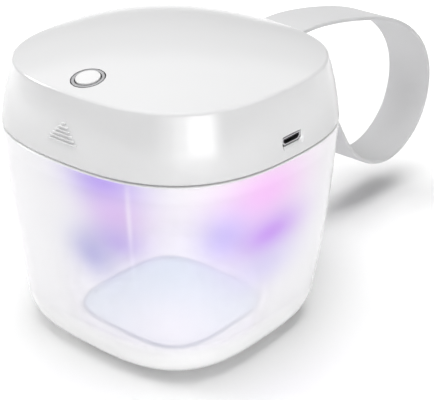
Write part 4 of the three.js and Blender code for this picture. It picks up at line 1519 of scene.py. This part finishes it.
@dataclass
class PowerButton:
    """The power button: a white cap in a satin grey ring on the leaning dome."""

    lid: LidShell = field(default_factory=LidShell)
    cap_radius: float = 3.05
    cap_proud: float = 0.4
    ring_inner: float = 3.35
    ring_outer: float = 4.05
    flange: float = 0.8
    roof: float = 2.7
    gap: float = 0.3
    stem_radius: float = 1.2
    stem_end: float = -10.12
    ring_edge: float = 0.14
    cap_edge: float = 0.35
    cap_lip: float = 0.5
    cap_dish: Pair = (0.08, 0.12)

    def on_dome(self, surface: Surface) -> Surface:
        """Moves an upright surface from the origin onto the dome at the button."""
        return surface.leaned(self.lid.tilt()).moved(y=self.lid.button_y, z=self.lid.button_z())

    def build(self) -> None:
        """Makes and dresses the button."""
        under, low = -self.roof, -self.roof - self.flange
        wide = self.ring_outer + self.flange
        ring = [(self.ring_inner, 0), (self.ring_inner, low), (wide, low), (wide, under)]
        ring += [(self.ring_outer, under), (self.ring_outer, 0)]
        made = self.on_dome(lathe(ring, self.ring_edge, Ends.JOINED, FINE_SIDES))
        Piece("ring", Body.LID, Slot.TRIM, ("button_ring",)).make(made, RING_GREY)
        top, base = low - self.gap, low - self.gap - self.flange
        broad = self.ring_inner + self.cap_lip
        cap = [(0, self.stem_end), (self.stem_radius, self.stem_end), (self.stem_radius, base), (broad, base)]
        cap += [(broad, top), (self.cap_radius, top), (self.cap_radius, self.cap_proud)]
        halfway, middle = (self.cap_proud - dip for dip in self.cap_dish)
        cap += [(self.cap_radius / 2, halfway), (0, middle)]
        made = self.on_dome(lathe(cap, self.cap_edge, Ends.POINTED, FINE_SIDES))
        Piece("cap", Body.BUTTON, Slot.WHITE, ("button_cap",)).make(made, CAP_WHITE)
        dress(BLACK_PLASTIC, "switch_plunger", "tact_switch")


@dataclass
class HingePin:
    """The steel pin through the knuckles."""

    form: CaseForm = field(default_factory=CaseForm)
    radius: float = 1.0
    half_length: float = 12.0
    edge: float = 0.25

    def build(self) -> None:
        """Makes and dresses the pin."""
        made = rod(self.form.hinge, self.radius, -self.half_length, self.half_length, self.edge)
        Piece("pin", Body.CASE, Slot.STEEL, ("hinge_pin",)).make(made, STEEL)


@dataclass
class CarryStrap:
    """The silicone strap, the bar that it turns on, and the press stud on its folded end."""

    bar: Pair = (43.6, 67.4)
    size: Pair = (73.6, 53.2)
    width: float = 15.1
    thickness: float = 1.25
    edge: float = 0.5
    fold: float = 37.0
    fold_lead: float = 3.0
    fold_taper: float = 6.0
    bar_radius: float = 1.2
    bar_half: float = 10.55
    bar_edge: float = 0.3
    sleeve_bore: float = 1.5
    snap_place: float = 14.5
    snap_radius: float = 4.0
    snap_thickness: float = 1.1
    post_radius: float = 1.1
    stud_radius: float = 3.2
    stud_height: float = 1.5
    snap_edge: float = 0.5
    snap_dish: float = 0.15
    snap_flat: float = 0.6
    stud_edge: float = 0.45
    gap: float = 0.3
    span_steps: int = 40
    line_steps: int = 1200
    rows: int = 300
    fold_rows: tuple[int, int] = (10, 60)
    route: tuple[Pair, ...] = (
        (0, 0.04), (0.135, 0.041), (0.287, 0.017), (0.459, -0.029), (0.609, -0.084), (0.734, -0.153),
        (0.837, -0.24), (0.917, -0.34), (0.969, -0.444), (0.995, -0.548), (1, -0.659), (0.982, -0.765),
        (0.947, -0.851), (0.892, -0.922), (0.82, -0.975), (0.739, -1), (0.655, -0.992), (0.564, -0.951),
        (0.477, -0.878), (0.401, -0.775), (0.325, -0.625), (0.236, -0.42), (0.154, -0.263),
        (0.067, -0.142), (-0.026, -0.054),
    )

    def centre_line(self) -> np.ndarray:
        """Works out the strap's centre line.

        It is the curve through the route's points in which each span between two points blends lines
        through its four nearest points, and a point's time on the curve grows with the square root of
        its distance from the point before (a centripetal curve, worked out for all spans at once).

        Returns:
            Points (y, z) at even steps along the curve.
        """
        marks = np.array(self.bar) + np.array(self.route) * self.size
        marks = np.vstack([2 * marks[0] - marks[1], marks, 2 * marks[-1] - marks[-2]])
        a, b, c, d = marks[:-3], marks[1:-2], marks[2:-1], marks[3:]
        gaps = [np.sqrt(np.linalg.norm(q - p, axis=1)) for p, q in ((a, b), (b, c), (c, d))]
        times = np.concatenate([np.zeros((1, len(a))), np.cumsum(gaps, axis=0)])
        t0, t1, t2, t3 = (time[:, None, None] for time in times)
        t = t1 + (t2 - t1) * np.linspace(0, 1, self.span_steps)[None, :, None]
        a, b, c, d = (mark[:, None] for mark in (a, b, c, d))

        def line(p: np.ndarray, q: np.ndarray, start: np.ndarray, end: np.ndarray) -> np.ndarray:
            """Returns the point at time t on the line from p at start to q at end."""
            return ((end - t) * p + (t - start) * q) / (end - start)

        ab, bc, cd = line(a, b, t0, t1), line(b, c, t1, t2), line(c, d, t2, t3)
        spans = line(line(ab, bc, t0, t2), line(bc, cd, t1, t3), t1, t2)
        fine = np.vstack([spans[:, :-1].reshape(-1, 2), spans[-1, -1:]])
        length = np.concatenate([[0], np.cumsum(np.linalg.norm(np.diff(fine, axis=0), axis=1))])
        even = np.linspace(0, length[-1], self.line_steps)
        return np.stack([np.interp(even, length, fine[:, i]) for i in range(2)], axis=-1)

    def on_line(self, shares: np.ndarray) -> tuple[np.ndarray, np.ndarray]:
        """Works out points on the centre line.

        Args:
            shares: Their places, as shares of the length.

        Returns:
            The points, and the unit steps to their side, into the loop.
        """
        line = self.centre_line()
        places = np.linspace(0, 1, len(line))
        along = np.gradient(line, axis=0)
        along /= np.linalg.norm(along, axis=1)[:, None]
        side = np.stack([along[:, 1], -along[:, 0]], axis=-1)
        point = np.stack([np.interp(shares, places, line[:, i]) for i in range(2)], axis=-1)
        aside = np.stack([np.interp(shares, places, side[:, i]) for i in range(2)], axis=-1)
        return point, aside

    def length(self) -> float:
        """Returns the length of the centre line."""
        return float(np.sum(np.linalg.norm(np.diff(self.centre_line(), axis=0), axis=1)))

    def band(self, shares: np.ndarray, low: float, high: float, widths: np.ndarray) -> Surface:
        """Carries a rounded section along the centre line.

        A section's point (x, depth) lies at the line's point plus depth times the step to the side, and x
        is scaled by the row's share of the full width.

        Args:
            shares: Places of the rows, as shares of the length.
            low: The section's lowest distance aside.
            high: Its highest distance aside.
            widths: For each row, its share of the full width.

        Returns:
            The closed band.
        """
        section = rounded_outline(self.width, high - low, self.edge)
        point, aside = self.on_line(shares)
        depth = section[:, 1] + (low + high) / 2
        flat = point[:, None] + aside[:, None] * depth[None, :, None]
        across = section[:, 0] * widths[:, None]
        return loft(np.concatenate([across[..., None], flat], axis=-1), Ends.FLAT)

    def ribbon(self) -> Surface:
        """Makes the ribbon, the sleeve round the bar and the folded end.

        Returns:
            The strap.
        """
        half = self.thickness / 2
        whole = self.band(np.linspace(0, 1, self.rows), -half, half, np.ones(self.rows))
        outer = self.sleeve_bore + self.thickness
        sleeve = rod(self.bar, outer, -self.width / 2, self.width / 2, self.edge, ROUND_SIDES)
        bore = rod(self.bar, self.sleeve_bore, -self.width, self.width, sides=ROUND_SIDES)
        start = 1 - self.fold / self.length()
        round_ = np.linspace(0, np.pi / 2, self.fold_rows[0])
        lead = self.fold_lead / self.length()
        straight = np.linspace(start + lead, 1, self.fold_rows[1])[1:]
        shares = np.concatenate([start + lead * (1 - np.cos(round_)), straight])
        widths = np.ones(len(shares))
        widths[: len(round_)] = 1 - self.fold_taper / self.width * (1 - np.sin(round_))
        flap = self.band(shares, self.thickness / 4, 1.5 * self.thickness, widths)
        return cut(whole, bore) + cut(sleeve, bore) + cut(flap, bore)

    def at_snap(self, surface: Surface) -> Surface:
        """Moves an upright surface onto the strap at its press stud, with +Z into the loop.

        Args:
            surface: The surface about the Z axis.

        Returns:
            The moved surface.
        """
        point, aside = self.on_line(np.array([1 - self.snap_place / self.length()]))
        turn = math.atan2(aside[0, 1], aside[0, 0]) - math.pi / 2
        return surface.leaned(turn).moved(y=float(point[0, 0]), z=float(point[0, 1]))

    def build(self) -> None:
        """Makes and dresses the strap's pieces."""
        Piece("loop", Body.STRAP, Slot.STRAP, ("strap",), 50.0).make(self.ribbon(), STRAP_GREY)
        bar = rod(self.bar, self.bar_radius, -self.bar_half, self.bar_half, self.bar_edge)
        Piece("bar", Body.LID, Slot.STEEL, ("strap_bar",)).make(bar, STEEL)
        under, over = -self.thickness / 2 - self.gap, 1.5 * self.thickness
        low, high = under - self.snap_thickness, over + self.stud_height
        wide, post = self.snap_radius, self.post_radius
        cap = [(0, low + self.snap_dish), (wide * self.snap_flat, low), (wide, low), (wide, under)]
        cap += [(post, under), (post, high), (0, high)]
        made = self.at_snap(lathe(cap, self.snap_edge, Ends.POINTED))
        Piece("snap_cap", Body.STRAP, Slot.STEEL, ("strap_snap_cap",)).make(made, STEEL)
        base = over + self.gap
        stud = section(self.post_radius + self.gap, self.stud_radius, base, base + self.stud_height)
        made = self.at_snap(lathe(stud, self.stud_edge, Ends.JOINED))
        Piece("snap_stud", Body.STRAP, Slot.STEEL, ("strap_snap_stud",)).make(made, STEEL)


@dataclass
class Electronics:
    """The lamp's LEDs, the board and its parts, the battery and the charging socket."""

    def build(self) -> None:
        """Dresses the nodes."""
        finishes = (
            (LED_CERAMIC, "uv_led_1 uv_led_2 uv_led_3"),
            (BoardLaminate("board_laminate"), "main_board"),
            (STEEL, "board_screw_1 board_screw_2 board_screw_3 board_screw_4"),
            (CHIP_BLACK, "control_chip hall_sensor"),
            (CellFoil("cell_foil"), "battery"),
            (SEAL_GREY, "battery_pad"),
            (INNER_WHITE, "battery_socket"),
            (RED_WIRE, "battery_lead_red"),
            (BLACK_WIRE, "battery_lead_black"),
            (PORT_STEEL, "usb_shell"),
            (BLACK_PLASTIC, "usb_tongue"),
        )
        for finish, nodes in finishes:
            dress(finish, *nodes.split())


@dataclass
class Softbox:
    """A lamp with a wide, high face that looks at a point on the case."""

    name: str
    place: Triple
    width: float
    height: float
    power: float
    aim: Triple = (0.0, 0.0, 0.05)
    mirrored: bool = True

    def build(self) -> None:
        """Hangs the lamp."""
        lamp = bpy.data.lights.new(self.name, "AREA")
        lamp.shape, lamp.size, lamp.size_y, lamp.energy = "RECTANGLE", self.width, self.height, self.power
        hung = placed(self.name, lamp)
        hung.location = self.place
        hung.visible_glossy = self.mirrored
        hung.rotation_euler = (Vector(self.aim) - Vector(self.place)).to_track_quat("-Z", "Y").to_euler()


@dataclass
class Studio:
    """The pale floor, the soft lamps, the sky and the camera, in metres."""

    floor_half: float = 3.0
    floor_grey: float = 0.92
    floor_glow: float = 0.09
    floor_roughness: float = 0.9
    floor_gap: float = 0.0001
    paper: float = 1.2
    paper_lift: float = 0.01
    far: Pair = (0.16, 0.42)
    farthest: Pair = (0.5, 1.6)
    # painted shadows: the floor's own light is cut away round these middles, under the case and under the
    # strap
    painted_shadows: tuple[tuple[Triple, Triple], ...] = (
        ((0.0, 0.0, 0.0), (46.0, 46.0, 40.0)),
        ((0.0, 88.0, 0.0), (18.0, 30.0, 40.0)),
    )
    far_glow: float = 0.7
    sky: float = 0.04
    mirrored: Pair = (0.45, 1.0)
    step: Pair = (0.497, 0.515)
    camera_place: Triple = (0.20503, -0.23045, 0.18872)
    camera_forward: Triple = (-0.5670, 0.6898, -0.4501)
    camera_roll: float = -0.8778
    camera_lens: float = 107.5
    camera_sensor: float = 36.0
    camera_near: float = 0.01
    lamps: tuple[Softbox, ...] = (
        Softbox("overhead", (0.0, 0.02, 1.5), 1.15, 1.3, 24.2, mirrored=False),
        Softbox("left", (-0.56, -0.26, 0.35), 0.25, 0.2, 1.55),
        Softbox("front", (0.49, -0.36, 0.11), 0.66, 0.22, 0.55),
        Softbox("front_middle", (0.52, -0.27, 0.11), 0.5, 0.2, 0.52),
        Softbox("front_core", (0.525, -0.235, 0.115), 0.26, 0.16, 0.32),
    )

    def floor(self) -> None:
        """Lays the floor, which shows the camera, glossy and transmitted rays a little light of its own.

        That light fades out under the case and the strap, a painted shadow on top of the shadows they cast,
        and grows far from them.
        """
        mesh = bpy.data.meshes.new("floor")
        h = self.floor_half
        mesh.from_pydata([(-h, -h, 0), (h, -h, 0), (h, h, 0), (-h, h, 0)], [], [(0, 1, 2, 3)])
        recipe = Recipe("floor_paper")
        where = recipe.place()
        seen = self.seen(recipe)
        out = Value(recipe, where.maths("LENGTH").outputs["Value"])
        far, farthest = out.between(*self.far), out.between(*self.farthest)
        paper = recipe.noise(where, self.paper, 3.0)
        near = self.floor_glow
        # painted shadow: cut the floor's own light under the case and the strap
        for middle, reach in self.painted_shadows:
            near = near * (1 - recipe.puff(where, middle, reach))
        glow = seen * (near + (self.far_glow - near) * far + (1 - self.far_glow) * farthest)
        grey = self.floor_grey
        light = recipe.tint(BLACK).blended(WHITE, glow)
        mesh.materials.append(
            recipe.finish(
                Base_Color=recipe.tint((grey,) * 3).blended((grey + self.paper_lift,) * 3, paper),
                Roughness=self.floor_roughness,
                Emission_Color=light,
                Emission_Strength=1.0,
                Specular_IOR_Level=0.0,
            )
        )
        laid = placed("floor", mesh)
        laid.location.z = -self.floor_gap

    def seen(self, recipe: Recipe) -> Value:
        """Returns 1 for camera, glossy and transmitted rays and 0 for the others."""
        camera, glossy, through = recipe.rays()
        return camera.maths("MAXIMUM", glossy).maths("MAXIMUM", through)

    def world(self) -> None:
        """Makes a plain sky, white to the camera, that the glossy faces see step from grey to white."""
        recipe = Recipe("sky", sky=True)
        camera, glossy, through = recipe.rays()
        way = Place(recipe, recipe.node("ShaderNodeTexCoord", {}, {}).outputs["Generated"])
        low, high = self.mirrored
        mirrored = low + (high - low) * way.parts()[2].between(*self.step)
        plain = self.sky + (1 - self.sky) * camera.maths("MAXIMUM", through)
        strength = plain + (mirrored - plain) * glossy
        shader = recipe.node("ShaderNodeBackground", {}, {"Color": WHITE, "Strength": strength})
        recipe.tree.links.new(shader.outputs[0], recipe.output.inputs["Surface"])
        bpy.context.scene.world = recipe.owner

    def camera(self) -> None:
        """Sets the camera up as the photograph's was."""
        lens = bpy.data.cameras.new("camera")
        lens.lens, lens.sensor_width, lens.sensor_fit = self.camera_lens, self.camera_sensor, "HORIZONTAL"
        lens.clip_start = self.camera_near
        made = placed("camera", lens)
        forward = Vector(self.camera_forward).normalized()
        right = forward.cross(Vector((0, 0, 1))).normalized()
        down = forward.cross(right)
        roll = math.radians(self.camera_roll)
        across = math.cos(roll) * right + math.sin(roll) * down
        under = math.cos(roll) * down - math.sin(roll) * right
        turned = Matrix((across, -under, -forward)).transposed().to_4x4()
        made.matrix_world = Matrix.Translation(self.camera_place) @ turned
        bpy.context.scene.camera = made

    def build(self) -> None:
        """Sets up the whole studio."""
        self.floor()
        self.world()
        self.camera()
        for lamp in self.lamps:
            lamp.build()
        bpy.context.scene.view_settings.view_transform = "Standard"


def main() -> None:
    """Builds the case and its studio."""
    logging.basicConfig(level=logging.INFO, format="%(name)s: %(message)s")
    for assembly in (Studio, Tub, LidShell, InnerCover, PowerButton, HingePin, CarryStrap, Electronics):
        LOG.info("building %s", assembly.__name__)
        assembly().build()


if __name__ == "__main__":
    main()
